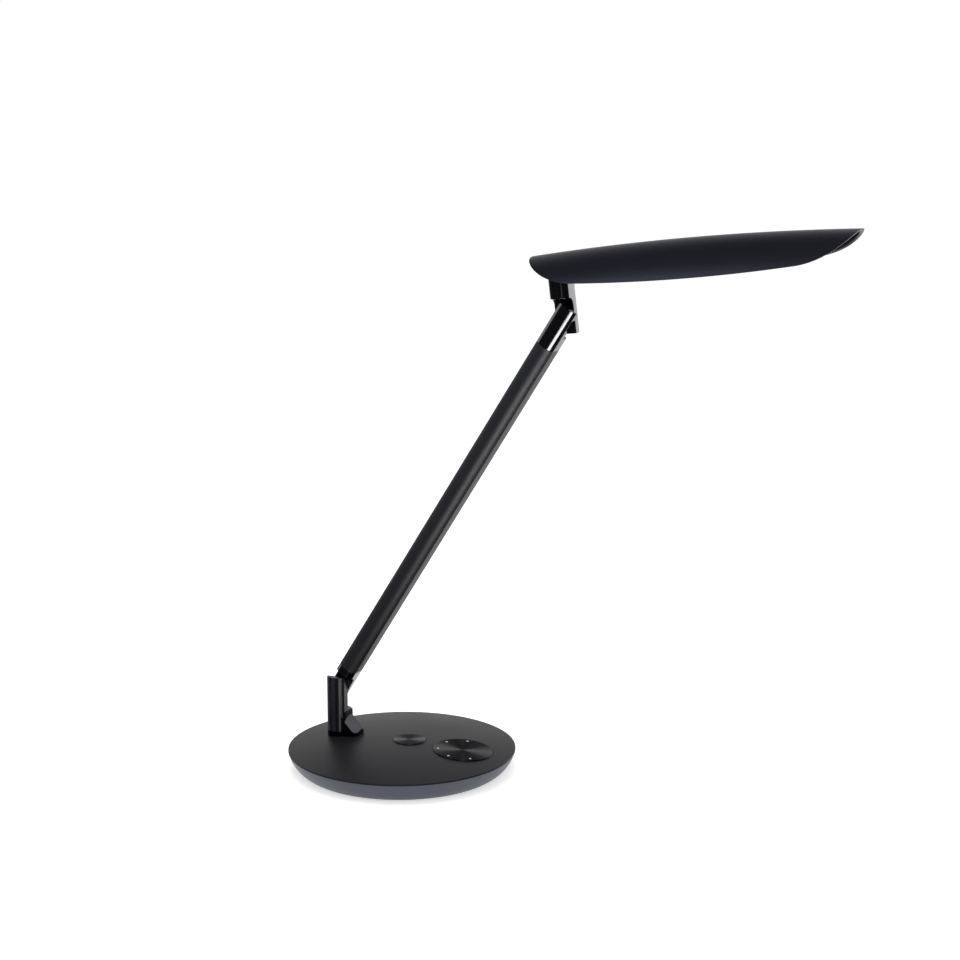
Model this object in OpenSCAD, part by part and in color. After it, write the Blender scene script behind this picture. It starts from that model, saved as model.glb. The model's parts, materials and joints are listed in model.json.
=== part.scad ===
// Folding LED desk lamp. Millimetres, Z up, origin at the centre of the foot pad's underside.
// +X runs from the post towards the front of the head, and every tilt axis lies along Y.

/* [Base] */
// Diameter over the rim of the base
base_d = 220; // [205:1:235]
// Height of the bowl-shaped side, from the cover to the rim
bowl_h = 20; // [19:0.5:23]
// Rise of the domed top above the rim
dome_h = 8; // [7:0.25:9]
// Thickness of the foam foot pad
pad_t = 1.5; // [1:0.25:2.5]
// Thickness of the steel ballast disc
ballast_t = 9; // [7:0.5:9]
// Distance of the post's axis behind the centre
post_x = 67.4; // [66:0.2:69]

/* [Controls] */
// Diameter of the dimmer dial
dial_d = 57.6; // [50:0.2:59]
// Distance of the dial's axis in front of the centre
dial_x = 64.5; // [62:0.25:66]
// Turn of the dial at rest, as the angle of its first dot
dial_turn = 103; // [90:1:120]
// Angle between two neighbouring dots
dot_pitch = 52; // [40:1:56]
// Number of brightness dots
dot_count = 5; // [3:1:6]
// Diameter of the power button
button_d = 31.5; // [26:0.5:33]
// Distance of the button's axis in front of the centre
button_x = 8; // [7:0.25:9]
// Travel of the power button
button_travel = 1; // [0.6:0.1:1.2]

/* [Post] */
// Width of the post between its flat faces
post_w = 18.5; // [17.5:0.25:19.5]
// Height of the lower pivot above the table
pivot_h = 74.3; // [70:0.1:85]
// Height of the black foot under the post, at the post's axis
foot_h = 5.1; // [4:0.1:7]
// Length of the heel in front of the post
heel_len = 13.9; // [12:0.1:16]
// Height of the heel's slope above the foot
heel_rise = 15; // [12:0.5:16]
// Radius of the heel's slope across its width
heel_bow_r = 18; // [16:1:40]

/* [Arm] */
// Distance between the lower and the upper pivot
arm_len = 442; // [380:0.5:480]
// Tilt of the arm above the horizontal at rest
arm_tilt = 58.1; // [50:0.1:66]
// Height of the arm's section between its flat faces
arm_w = 18.5; // [17.5:0.25:20]
// Depth of the flat faces, from crease to crease
flat_d = 16; // [15:0.25:18]
// Bulge of the convex front and back over the creases
bulge = 4.5; // [3.5:0.1:5]
// Wall of the arm's extrusion
tube_wall = 2; // [1.6:0.1:2.4]

/* [Joints] */
// Diameter of the pivot's shoulder
shoulder_d = 8; // [7:0.5:8.5]
// Radial running clearance of every turning fit
run_gap = 0.05; // [0.03:0.01:0.08]
// Gap between the two halves of a lap
lap_gap = 0.4; // [0.3:0.05:0.6]
// Reach of a lap's end past its pivot
lap_end = 11.5; // [10.5:0.25:12]
// Drop of the post's far step under the lower pivot
post_step = 23; // [18:0.25:24]
// Radius that fills the root of a lap, and rounds the end that turns past it
root_r = 7; // [5:0.25:7.5]
// Distance of a lap's shoulder from its pivot
lap_shoulder = 18; // [17.75:0.25:20]

/* [Head] */
// Length of the head shell, tip to tip
head_len = 304; // [295:0.5:330]
// Radius of the shell's arched section
arch_r = 46; // [45:0.25:50]
// Rise of the ridge at mid length over the tips
head_bow = 5; // [4:0.2:8]
// Depth of the rim below the tips at mid length
rim_drop = 27; // [25:0.2:29]
// Radius of the rim's line at its ends, seen from the side
rim_end_r = 76; // [72:1:82]
// Wall of the head shell
shell_t = 2; // [1.6:0.1:2.2]
// Tilt of the head above the horizontal at rest
head_tilt = 7; // [0:0.5:12]
// Height of the tips' line above the upper pivot
neck_len = 57.5; // [55:0.5:66]
// Distance of the neck in front of the rear tip
neck_back = 25; // [24.5:0.25:28]

/* [Hidden] */
$fn = 96;
big = 600;

// Base: levels from the table upwards
base_r = base_d / 2;
cover_t = 2;
cover_z = pad_t;
ballast_z = cover_z + cover_t;
ballast_top = ballast_z + ballast_t;
rim_z = pad_t + bowl_h;
bowl_r = 1.425 * bowl_h;
bowl_lean = 10;
bowl_cx = base_r - bowl_r * cos(bowl_lean);
bowl_cz = rim_z + bowl_r * sin(bowl_lean);
bowl_wall = 2.5;
edge_t = 1.6;
plate_t = 2.2;
plate_seat = 5;
dome_r = (base_r * base_r + dome_h * dome_h) / (2 * dome_h);
dome_cz = rim_z + dome_h - dome_r;
bot_r = bowl_cx + sqrt(bowl_r * bowl_r - pow(bowl_cz - pad_t, 2));
cover_r = bot_r - 7.4;
ledge_in = cover_r - 8;
ledge_top = ballast_z + 5;
ballast_r = ledge_in - 0.4;
pad_r = cover_r - 1.8;
cover_screw_r = cover_r - 3.8;
cover_screw_n = 6;
boss_xy = 0.455 * base_r;
inlet_x = bowl_cx + sqrt(pow(bowl_r - bowl_wall, 2) - pow(bowl_cz - ledge_top, 2)) - 0.5;
screw_gap = 0.1;
function dome_z(r) = dome_cz + sqrt(dome_r * dome_r - r * r);

// Controls under the plate
standoff_h = 1.5;
board_z = ballast_top + standoff_h;
board_t = 1.6;
board_x0 = button_x - 22;
board_x1 = dial_x + 22;
board_w = 48;
dial_r = dial_d / 2;
dial_z = dome_z(dial_x);
dial_slope = asin(dial_x / dome_r);
dial_gap = 0.6;
dial_proud = 0.45;
dial_dish = 0.5;
well_d = 3.6;
well_floor = 1.6;
spindle_r = 3;
encoder_w = 14;
encoder_h = 4.6;
dot_r = 1.25;
dot_at = 0.83 * dial_r;
button_r = button_d / 2;
button_z = dome_z(button_x);
button_gap = 0.5;
button_proud = 0.8;
button_lip = 1.8;
switch_h = 5.2;
plunger_r = 2.5;
plunger_up = 1.6;

// Post
post_hw = post_w / 2;
flat_h = flat_d / 2;
half_d = flat_h + bulge;
foot_top = dome_z(post_x) + foot_h;
tenon_x = 14;
tenon_y = 15;
toe_x = -post_x + post_hw + heel_len;
toe_hw = 10.5;
toe_r = 6;
heel_lip = 1.6;
crown_out = 1.4;
crown_drop = 0.5;
crown_top = pivot_h - post_step - crown_drop;
step_x = -post_x + post_hw + crown_out;

// Section and laps
arm_hw = arm_w / 2;
crease_r = 1.2;
// The circle in a lap's root crosses the two faces instead of touching them.
root_lap = 0.02;
// The neck's square end has to turn past the shoulder of the upper arm joint.
neck_end = sqrt(lap_shoulder * lap_shoulder - arm_hw * arm_hw) - 0.4;
lap_y = lap_gap / 2;
shoulder_r = shoulder_d / 2;
thread_r = 3;
seat_d = 0.6;
washer_r = 7;
cbore_r = 7;
cbore_y = 4.8;
spring_t = 1;
head_t = 2.4;
cap_y = cbore_y + spring_t + head_t + 0.5;
insert_low = 8;
insert_up = 13;
plug_len = 34;
plug_gap = 0.1;
lead_r = 2.2;
lead_gap = 0.3;
arm_dx = cos(arm_tilt);
arm_dz = sin(arm_tilt);

// Head
half_len = head_len / 2;
ridge_r = (half_len * half_len + head_bow * head_bow) / (2 * head_bow);
ridge_cn = head_bow - ridge_r;
sweep_a = 2 * asin((half_len + 8) / ridge_r);
rim_mid_r = 1700;
rim_cn = rim_mid_r - rim_drop;
// Centre of the end arc: it touches the middle arc from inside and passes through the tip.
tip_gap = sqrt(half_len * half_len + rim_cn * rim_cn);
tip_t = (pow(rim_mid_r - rim_end_r, 2) - rim_end_r * rim_end_r + tip_gap * tip_gap) / (2 * tip_gap);
tip_h = sqrt(pow(rim_mid_r - rim_end_r, 2) - tip_t * tip_t);
end_u = (tip_t * half_len - tip_h * rim_cn) / tip_gap;
end_n = rim_cn - (tip_t * rim_cn + tip_h * half_len) / tip_gap;
end_join = end_u * rim_mid_r / (rim_mid_r - rim_end_r);
// The end arcs reach this far past the middle one, so that they cross it instead of touching it.
rim_lap = 0.02;
neck_u = neck_back - half_len;
spine_n = -8;
spine_t = 2;
spine_w = 42;
spine_in = 36;
tail_w = 24;
spine_front = half_len - spine_in;
rib_y = 14;
joint_in = 14;
spine_tail = neck_u - arm_hw;
main_back = neck_u + joint_in;
led_board_t = 1.2;
led_board_w = 34;
led_size = 3.5;
led_row = 9;
led_end = 5;
led_t = 0.9;
led_n = 30;
cover_in = 1.5;
head_cover_t = 2;
window_hl = end_join - 7.5;
window_hw = 24;
board_half = window_hl - 2;
diffuser_lip = 2.6;
diffuser_t = 1.4;
diffuser_gap = 0.3;
shell_gap = 0.25;
neck_gap = 0.4;
spine_screw_u = 58;
cover_screw_u = end_join + 3.5;
cover_screw_v = 13;
cover_seat_n = end_n - sqrt(pow(rim_end_r - cover_in, 2) - pow(cover_screw_u - end_u, 2)) + 1.6;

// ---- shared shapes ------------------------------------------------------------------

// Lamp section: flat faces across x, convex front and back across y, rounded creases.
module section(hw, off = 0, round_it = true) {
    r0 = (hw * hw + bulge * bulge) / (2 * bulge);
    cy = half_d - r0;
    r = r0 - off;
    w = hw - off;
    rc = round_it ? crease_r : 0;
    yk = cy + sqrt(pow(r - rc, 2) - pow(w - rc, 2));
    xc = (w - rc) * r / (r - rc);
    square([2 * w, 2 * yk], center = true);
    for (s = [-1, 1]) intersection() {
        translate([0, s * cy]) circle(r, $fn = 180);
        translate([-xc, s > 0 ? 0 : -half_d]) square([2 * xc, half_d]);
    }
    if (round_it) for (sx = [-1, 1], sy = [-1, 1]) translate([sx * (w - rc), sy * yk])
        circle(rc, $fn = 32);
}

// Cylinder along Y, from y0 to y1
module y_rod(r, y0, y1) {
    translate([0, y1, 0]) rotate([90, 0, 0]) cylinder(h = y1 - y0, r = r);
}

module near_side(y = 0) { translate([-big, y - big, -big]) cube([2 * big, big, 2 * big]); }
module far_side(y = 0) { translate([-big, y, -big]) cube([2 * big, big, 2 * big]); }

// Frames: the arm's x axis runs up the arm; the head's origin is the upper pivot.
module at_lower_pivot() { translate([-post_x, 0, pivot_h]) children(); }
module in_arm() { at_lower_pivot() rotate([0, -arm_tilt, 0]) children(); }
module at_upper_pivot() {
    translate([-post_x + arm_len * arm_dx, 0, pivot_h + arm_len * arm_dz]) children();
}
module in_neck() { at_upper_pivot() rotate([0, -head_tilt, 0]) children(); }
module in_head() { in_neck() translate([-neck_u, 0, neck_len]) children(); }
module at_dial() { translate([dial_x, 0, dial_z]) rotate([0, dial_slope, 0]) children(); }
module at_button() { translate([button_x, 0, button_z]) children(); }

// Stretch of the section along the arm, from x0 to x1
module arm_run(x0, x1, off = 0, round_it = true) {
    translate([x0, 0, 0]) rotate([0, 90, 0]) linear_extrude(x1 - x0) section(arm_hw, off, round_it);
}

// Root of a lap: the corner between a shoulder at x = at and the lap face at y, outside the
// circle that fits in it. Added to a bar it fills the root; cut from an end it rounds it.
module lap_root(at, y) {
    translate([at, y, -big]) linear_extrude(2 * big) difference() {
        translate([-root_r, -root_r]) square(root_r + 0.5);
        translate([-root_r, -root_r]) circle(root_r + root_lap);
    }
}

// ---- pivot hardware, about the Y axis --------------------------------------------------

// Cuts in the half that turns on the shoulder: bore, spring pocket and washer seat
module turning_cuts() {
    y_rod(shoulder_r + run_gap, -1, 2 * half_d);
    y_rod(cbore_r, cbore_y, 2 * half_d);
    y_rod(washer_r + 0.1, lap_y - 1, lap_y + seat_d);
}

// Cuts in the half that the screw is fixed in: washer seat and blind thread
module fixed_cuts() {
    y_rod(washer_r + 0.1, -lap_y - seat_d, lap_y + 1);
    y_rod(thread_r + 0.02, -lap_y - seat_d - 7.4, 0);
}

module pivot_screw() {
    difference() {
        union() {
            y_rod(shoulder_r, -lap_y - seat_d, cbore_y + spring_t + 0.05);
            y_rod(thread_r, -lap_y - seat_d - 7, 0);
            y_rod(cbore_r - 0.6, cbore_y + spring_t + 0.05, cap_y - 0.4);
        }
        translate([0, cap_y, 0]) rotate([90, 0, 0]) cylinder(h = 2, r = 2.6, $fn = 6);
    }
}

module spring_washer() {
    difference() {
        y_rod(cbore_r - 0.9, cbore_y + 0.03, cbore_y + spring_t);
        y_rod(shoulder_r + 0.15, 0, 2 * cbore_y);
    }
}

module friction_washer() {
    difference() {
        y_rod(washer_r, -lap_y - seat_d + 0.02, lap_y + seat_d - 0.02);
        y_rod(shoulder_r + 0.1, -3, 3);
    }
}

// ---- base -------------------------------------------------------------------------------

module foot_pad() {
    color("dimgray") cylinder(h = pad_t, r = pad_r, $fn = 180);
}

module cover_holes(r, z0, z1) {
    for (i = [0 : cover_screw_n - 1]) rotate([0, 0, 30 + i * 360 / cover_screw_n])
        translate([cover_screw_r, 0, z0]) cylinder(h = z1 - z0, r = r, $fn = 32);
}

module bottom_cover() {
    color("darkslategray") difference() {
        translate([0, 0, cover_z]) cylinder(h = cover_t, r = cover_r - 0.1, $fn = 180);
        cover_holes(1.5 + screw_gap, 0, 10);
        cover_holes(3, 0, cover_z + 1.2);
    }
}

module cover_screws() {
    color("silver") union() {
        cover_holes(1.5, cover_z + 0.6, ledge_top - 1);
        cover_holes(2.9, cover_z, cover_z + 1.2);
    }
}

module bowl_zone(off) {
    intersection() {
        translate([bowl_cx, bowl_cz]) circle(bowl_r - off, $fn = 360);
        translate([bowl_cx, cover_z]) square([bowl_r, rim_z - edge_t - cover_z]);
    }
}

module inlet_place() { translate([-inlet_x, 0, ledge_top + 4.6]) children(); }

module base_shell() {
    color("slategray") difference() {
        union() {
            rotate_extrude($fn = 180) difference() {
                bowl_zone(0);
                bowl_zone(bowl_wall);
                translate([bowl_cx - 1, cover_z]) square([cover_r - bowl_cx + 1, cover_t]);
            }
            rotate_extrude($fn = 180) intersection() {
                union() {
                    translate([bowl_cx, bowl_cz]) circle(bowl_r - bowl_wall / 2, $fn = 360);
                    square([bowl_cx, 2 * rim_z]);
                }
                translate([ledge_in, ballast_z]) square([bowl_r, ledge_top - ballast_z]);
            }
            rotate_extrude($fn = 180) intersection() {
                translate([bowl_cx, bowl_cz]) circle(bowl_r - bowl_wall / 2, $fn = 360);
                translate([cover_r, cover_z + 0.6]) square([bowl_r, cover_t]);
            }
        }
        cover_holes(1.5 + screw_gap, 0, ledge_top - 0.8);
        inlet_place() rotate([0, -90, 0]) cylinder(h = 20, r = 4.2);
    }
}

module ballast_spots() {
    for (sx = [-1, 1], sy = [-1, 1]) translate([sx * boss_xy, sy * boss_xy, 0]) children();
}
module tenon_spots() { for (s = [-1, 1]) translate([-post_x, s * 4, 0]) children(); }
module standoff_spots() {
    for (x = [board_x0 + 5, board_x1 - 17], s = [-1, 1]) translate([x, s * (board_w / 2 - 4), 0])
        children();
}

module ballast() {
    color("gray") difference() {
        translate([0, 0, ballast_z]) cylinder(h = ballast_t, r = ballast_r, $fn = 180);
        ballast_spots() {
            translate([0, 0, ballast_z - 1]) cylinder(h = 20, r = 2 + screw_gap);
            translate([0, 0, ballast_z - 1]) cylinder(h = 4.2, r = 4.2);
        }
        tenon_spots() {
            translate([0, 0, ballast_z - 1]) cylinder(h = 20, r = 2 + screw_gap);
            translate([0, 0, ballast_z - 1]) cylinder(h = 4.2, r = 3.8);
        }
        standoff_spots() translate([0, 0, ballast_top - 4]) cylinder(h = 10, r = 1.5 + screw_gap);
    }
}

module plate_screws() {
    color("silver") ballast_spots() {
        translate([0, 0, ballast_z + 0.2]) cylinder(h = 3, r = 4);
        translate([0, 0, ballast_z + 1]) cylinder(h = ballast_t + 4, r = 2);
    }
}

module post_screws() {
    color("silver") tenon_spots() {
        translate([0, 0, ballast_z + 0.2]) cylinder(h = 3, r = 3.6);
        translate([0, 0, ballast_z + 1]) cylinder(h = ballast_t + 11, r = 2);
    }
}

// Filled dome, down to z0
module dome_fill(off, r, z0) {
    rotate_extrude($fn = 180) intersection() {
        translate([0, dome_cz]) circle(dome_r - off, $fn = 2400);
        translate([0, z0]) square([r, 60]);
    }
}

module top_plate() {
    color([0.2, 0.2, 0.21]) difference() {
        union() {
            difference() {
                dome_fill(0, base_r, rim_z - edge_t);
                dome_fill(plate_t, base_r - plate_seat, 0);
            }
            intersection() {
                dome_fill(0.5, base_r - plate_seat, 0);
                union() {
                    at_dial() translate([0, 0, -well_d - well_floor])
                        cylinder(h = 20, r = dial_r + dial_gap + 1.8, $fn = 180);
                    ballast_spots() translate([0, 0, ballast_top]) cylinder(h = 20, r = 4.5);
                }
            }
        }
        at_dial() translate([0, 0, -well_d]) cylinder(h = 20, r = dial_r + dial_gap, $fn = 180);
        at_dial() translate([0, 0, -10]) cylinder(h = 20, r = spindle_r + 0.5);
        at_button() translate([0, 0, -10]) cylinder(h = 20, r = button_r + button_gap, $fn = 180);
        ballast_spots() translate([0, 0, ballast_top - 1]) cylinder(h = 6.5, r = 2 + screw_gap);
        translate([-post_x, 0, rim_z]) cube([tenon_x + 0.4, tenon_y + 0.4, 40], center = true);
    }
}

module control_board() {
    color("darkgreen") difference() {
        translate([board_x0, -board_w / 2, board_z]) cube([board_x1 - board_x0, board_w, board_t]);
        standoff_spots() translate([0, 0, board_z - 1]) cylinder(h = 5, r = 1.5 + screw_gap);
    }
}

module board_standoffs() {
    color("gold") standoff_spots() {
        translate([0, 0, ballast_top]) cylinder(h = standoff_h, r = 2.6);
        translate([0, 0, ballast_top - 3.5]) cylinder(h = 6, r = 1.5);
        translate([0, 0, board_z + board_t]) cylinder(h = 1.4, r = 2.6);
        translate([0, 0, board_z - 0.5]) cylinder(h = 3, r = 1.5);
    }
}

module dial_encoder() {
    color("dimgray") at_dial() difference() {
        translate([-encoder_w / 2, -encoder_w / 2, -well_d - well_floor - encoder_h])
            cube([encoder_w, encoder_w, encoder_h]);
        translate([0, 0, -well_d - well_floor - encoder_h + 1]) cylinder(h = 20, r = spindle_r + run_gap);
    }
}

module switch_housing() {
    color("dimgray") difference() {
        translate([button_x - 6, -6, board_z + board_t]) cube([12, 12, switch_h]);
        translate([button_x, 0, board_z + board_t + 0.8]) cylinder(h = 20, r = plunger_r + run_gap);
    }
}

module power_inlet() {
    color("black") inlet_place() difference() {
        union() {
            translate([0, -5.5, -4.6]) cube([13, 11, 9.2]);
            translate([1, 0, 0]) rotate([0, -90, 0]) cylinder(h = 5, r = 4);
        }
        difference() {
            translate([9, 0, 0]) rotate([0, -90, 0]) cylinder(h = 20, r = 2.85);
            translate([10, 0, 0]) rotate([0, -90, 0]) cylinder(h = 12, r = 1);
        }
    }
}

// ---- controls that move --------------------------------------------------------------------

module dial() {
    color([0.12, 0.12, 0.13]) at_dial() difference() {
        union() {
            rotate_extrude($fn = 180) difference() {
                polygon([[0, -well_d + 0.3], [dial_r, -well_d + 0.3], [dial_r, dial_proud - 0.2],
                    [dial_r - 0.2, dial_proud], [0, dial_proud - dial_dish]]);
                translate([7, -well_d]) square([dial_r - 9.5, well_d - 1.8]);
            }
            translate([0, 0, -well_d - well_floor - encoder_h + 1.4])
                cylinder(h = well_floor + encoder_h, r = spindle_r);
        }
        dot_spots() translate([0, 0, -1]) cylinder(h = 5, r = dot_r + 0.02, $fn = 32);
    }
}

module dot_spots() {
    for (i = [0 : dot_count - 1]) rotate([0, 0, dial_turn + i * dot_pitch]) translate([dot_at, 0, 0])
        children();
}

module dial_dots() {
    color("white") at_dial() dot_spots() translate([0, 0, -1])
        cylinder(h = 1.05 + dial_proud - dial_dish * (1 - dot_at / (dial_r - 0.2)), r = dot_r, $fn = 32);
}

// The spring holds the button's lip up against the plate's underside.
module power_button() {
    lip_r = button_r + button_lip;
    lip_z = dome_cz + sqrt(pow(dome_r - plate_t, 2) - pow(button_x + lip_r, 2)) - 0.05 - button_z;
    color("silver") at_button() union() {
        rotate_extrude($fn = 180) difference() {
            polygon([[0, lip_z - 1.2], [lip_r, lip_z - 1.2], [lip_r, lip_z], [button_r, lip_z],
                [button_r, button_proud - 0.5], [button_r - 0.5, button_proud],
                [0, button_proud - 0.25]]);
            translate([5, lip_z - 2]) square([button_r - 7, 2.8]);
        }
        translate([0, 0, -button_z + board_z + board_t + switch_h + plunger_up])
            cylinder(h = button_z - board_z - board_t - switch_h - plunger_up - 1.5, r = 4);
    }
}

module switch_plunger() {
    z0 = board_z + board_t + 0.8 + button_travel + 0.3;
    color("ivory") translate([button_x, 0, z0])
        cylinder(h = board_z + board_t + switch_h + plunger_up - z0, r = plunger_r);
}

// ---- post -------------------------------------------------------------------------------------

module toe_plan() {
    square_x = toe_x + post_x;
    translate([-post_x, 0]) {
        translate([0, -toe_hw]) square([square_x - toe_r, 2 * toe_hw]);
        translate([0, -toe_hw + toe_r]) square([square_x, 2 * (toe_hw - toe_r)]);
        for (s = [-1, 1]) translate([square_x - toe_r, s * (toe_hw - toe_r)]) circle(toe_r);
    }
}

// The foot's underside is the plane that touches the dome at the foot's middle.
module post_foot() {
    mid_x = (toe_x - post_x - post_hw) / 2;
    color("black") difference() {
        translate([0, 0, rim_z]) linear_extrude(foot_top - rim_z) union() {
            translate([-post_x, 0]) section(post_hw);
            toe_plan();
        }
        translate([mid_x, 0, dome_z(mid_x)]) rotate([0, asin(mid_x / dome_r), 0])
            translate([-40, -40, -20]) cube([80, 80, 20]);
        translate([-post_x, 0, rim_z]) cube([tenon_x + 0.2, tenon_y + 0.2, 80], center = true);
    }
}

// The slope is a cylinder that lies along it; the crown above it is as wide as the post's flat.
module heel(slope_top) {
    lip_top = foot_top + heel_lip;
    intersection() {
        translate([0, 0, foot_top]) linear_extrude(40) toe_plan();
        translate([0, toe_hw + 1, 0]) rotate([90, 0, 0]) linear_extrude(2 * toe_hw + 2)
            polygon([[-post_x, foot_top], [toe_x, foot_top], [toe_x, lip_top],
                [step_x, slope_top], [-post_x, slope_top]]);
        translate([toe_x, 0, lip_top]) rotate([0, atan2(slope_top - lip_top, toe_x - step_x), 0])
            translate([-40, 0, -heel_bow_r]) rotate([0, 90, 0]) cylinder(h = 80, r = heel_bow_r);
    }
    translate([0, flat_h, 0]) rotate([90, 0, 0]) linear_extrude(2 * flat_h)
        polygon([[-post_x, foot_top], [step_x - 1, foot_top], [step_x, slope_top - 2.5],
            [step_x, crown_top], [-post_x, crown_top]]);
}

module post() {
    slope_top = foot_top + heel_rise;
    color([0.3, 0.29, 0.32]) difference() {
        union() {
            translate([-post_x, 0, foot_top])
                linear_extrude(pivot_h + lap_end - foot_top) section(post_hw);
            translate([-post_x - tenon_x / 2, -tenon_y / 2, ballast_top])
                cube([tenon_x, tenon_y, foot_top + 5 - ballast_top]);
            heel(slope_top);
        }
        at_lower_pivot() rotate([0, -90, 0]) lap_root(lap_end, -lap_y);
        intersection() {
            translate([-post_x, 0, pivot_h]) far_side(-lap_y);
            translate([-big, -big, pivot_h - post_step]) cube([2 * big, 2 * big, big]);
        }
        at_lower_pivot() fixed_cuts();
        tenon_spots() translate([0, 0, ballast_top - 1]) cylinder(h = 13.4, r = 2 + screw_gap);
    }
}

module lower_pivot_screw() { color("silver") at_lower_pivot() pivot_screw(); }
module lower_spring_washer() { color("lightgray") at_lower_pivot() spring_washer(); }

// ---- arm ----------------------------------------------------------------------------------------

module set_screw_spots() {
    for (x = [lap_shoulder + insert_low + 18, arm_len - lap_shoulder - insert_up - 18])
        translate([x, 0, 0]) children();
}

module lower_arm_joint() {
    x0 = lap_shoulder + insert_low;
    color([0.09, 0.09, 0.1]) in_arm() difference() {
        union() {
            arm_run(lap_shoulder, x0);
            arm_run(x0 - 1, x0 + plug_len, tube_wall + plug_gap, false);
            intersection() {
                arm_run(-lap_end, lap_shoulder + 1);
                union() {
                    far_side(lap_y);
                    lap_root(lap_shoulder, lap_y);
                }
            }
        }
        turning_cuts();
        translate([lap_shoulder + 1.5, 0, 0]) rotate([0, 90, 0])
            cylinder(h = 80, r = lead_r + lead_gap);
        set_screw_spots() y_rod(2 + screw_gap, 4, 20);
    }
}

module arm_tube() {
    x0 = lap_shoulder + insert_low;
    x1 = arm_len - lap_shoulder - insert_up;
    color([0.15, 0.15, 0.15]) in_arm() difference() {
        arm_run(x0, x1);
        arm_run(x0 - 1, x1 + 1, tube_wall, false);
        set_screw_spots() y_rod(2 + screw_gap, 0, 20);
    }
}

module upper_arm_joint() {
    x1 = arm_len - lap_shoulder - insert_up;
    color([0.09, 0.09, 0.1]) in_arm() difference() {
        union() {
            arm_run(x1, arm_len - lap_shoulder);
            arm_run(x1 - plug_len, x1 + 1, tube_wall + plug_gap, false);
            intersection() {
                arm_run(arm_len - lap_shoulder - 1, arm_len + lap_end);
                near_side(-lap_y);
            }
        }
        lap_root(arm_len + lap_end, -lap_y);
        translate([arm_len, 0, 0]) fixed_cuts();
        translate([arm_len - lap_shoulder - 1.5, 0, 0]) rotate([0, -90, 0])
            cylinder(h = 80, r = lead_r + lead_gap);
        set_screw_spots() y_rod(2 + screw_gap, 4, 20);
    }
}

module arm_lead() {
    color("whitesmoke") in_arm() translate([lap_shoulder + 1.8, 0, 0]) rotate([0, 90, 0])
        cylinder(h = arm_len - 2 * lap_shoulder - 3.6, r = lead_r);
}

module arm_screws() {
    color("dimgray") in_arm() set_screw_spots() difference() {
        y_rod(2, 4.2, half_d - 0.3);
        translate([0, half_d, 0]) rotate([90, 0, 0]) cylinder(h = 2.3, r = 1.1, $fn = 6);
    }
}

module lower_friction_washer() { color("white") at_lower_pivot() friction_washer(); }

module lower_pivot_cap() {
    color([0.09, 0.09, 0.1]) in_arm() intersection() {
        arm_run(-lap_end, lap_end);
        y_rod(cbore_r - 0.05, cap_y, 2 * half_d);
    }
}

module upper_pivot_screw() { color("silver") at_upper_pivot() pivot_screw(); }
module upper_spring_washer() { color("lightgray") at_upper_pivot() spring_washer(); }

// ---- head ---------------------------------------------------------------------------------------

module neck_run(z0, z1) { translate([0, 0, z0]) linear_extrude(z1 - z0) section(arm_hw); }
module neck_screw_spots() { for (s = [-1, 1]) translate([neck_u, s * 6, 0]) children(); }

module neck() {
    color([0.09, 0.09, 0.1]) in_neck() difference() {
        union() {
            neck_run(lap_shoulder, neck_len + spine_n);
            intersection() {
                neck_run(-neck_end, lap_shoulder + 1);
                union() {
                    far_side(lap_y);
                    rotate([0, -90, 0]) lap_root(lap_shoulder, lap_y);
                }
            }
        }
        turning_cuts();
        for (s = [-1, 1]) translate([0, s * 6, neck_len + spine_n - 9])
            cylinder(h = 20, r = 1.5 + screw_gap);
    }
}

module upper_friction_washer() { color("white") at_upper_pivot() friction_washer(); }

module upper_pivot_cap() {
    color([0.09, 0.09, 0.1]) in_neck() intersection() {
        neck_run(-lap_end, lap_end);
        y_rod(cbore_r - 0.05, cap_y, 2 * half_d);
    }
}

// Bowed tube of radius r under the head's ridge
module ridge_tube(r) {
    translate([0, 0, ridge_cn]) rotate([90, 0, 0]) rotate([0, 0, 90 - sweep_a / 2])
        rotate_extrude(angle = sweep_a, $fn = 1080)
            translate([ridge_r - arch_r, 0]) rotate(180) circle(r, $fn = 120);
}

// Everything above the rim's line as seen from the side, or above its offset by off
module above_rim(off = 0) {
    join = end_join * (1 - off / rim_mid_r);
    translate([0, big / 2, 0]) rotate([90, 0, 0]) linear_extrude(big) {
        intersection() {
            translate([0, rim_cn]) circle(rim_mid_r - off, $fn = 1800);
            translate([-join, -rim_drop - 1]) square([2 * join, rim_drop + 41]);
        }
        for (s = [-1, 1]) translate([s * end_u, end_n]) circle(rim_end_r - off + rim_lap, $fn = 360);
    }
}

// Sheet that follows the rim's line, between two offsets
module rim_sheet(off0, off1) {
    difference() {
        above_rim(off0);
        above_rim(off1);
    }
}

module head_shell() {
    color([0.16, 0.16, 0.17]) in_head() difference() {
        intersection() {
            union() {
                difference() {
                    ridge_tube(arch_r);
                    ridge_tube(arch_r - shell_t);
                }
                intersection() {
                    ridge_tube(arch_r - shell_t / 2);
                    for (s = [-1, 1]) translate([s * spine_screw_u, 0, spine_n + spine_t])
                        cylinder(h = 40, r = 4.5);
                }
            }
            above_rim();
        }
        for (s = [-1, 1]) translate([s * spine_screw_u, 0, spine_n]) cylinder(h = 10, r = 1.5 + screw_gap);
    }
}

// Long window with round ends, as a prism along the head's upward axis
module stadium(hl, hw) {
    translate([0, 0, -2 * rim_drop]) linear_extrude(2 * rim_drop) {
        square([2 * (hl - hw), 2 * hw], center = true);
        for (s = [-1, 1]) translate([s * (hl - hw), 0]) circle(hw);
    }
}

module cover_screw_spots() {
    for (s = [-1, 1], v = [-1, 1]) translate([s * cover_screw_u, v * cover_screw_v, 0]) children();
}

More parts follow.
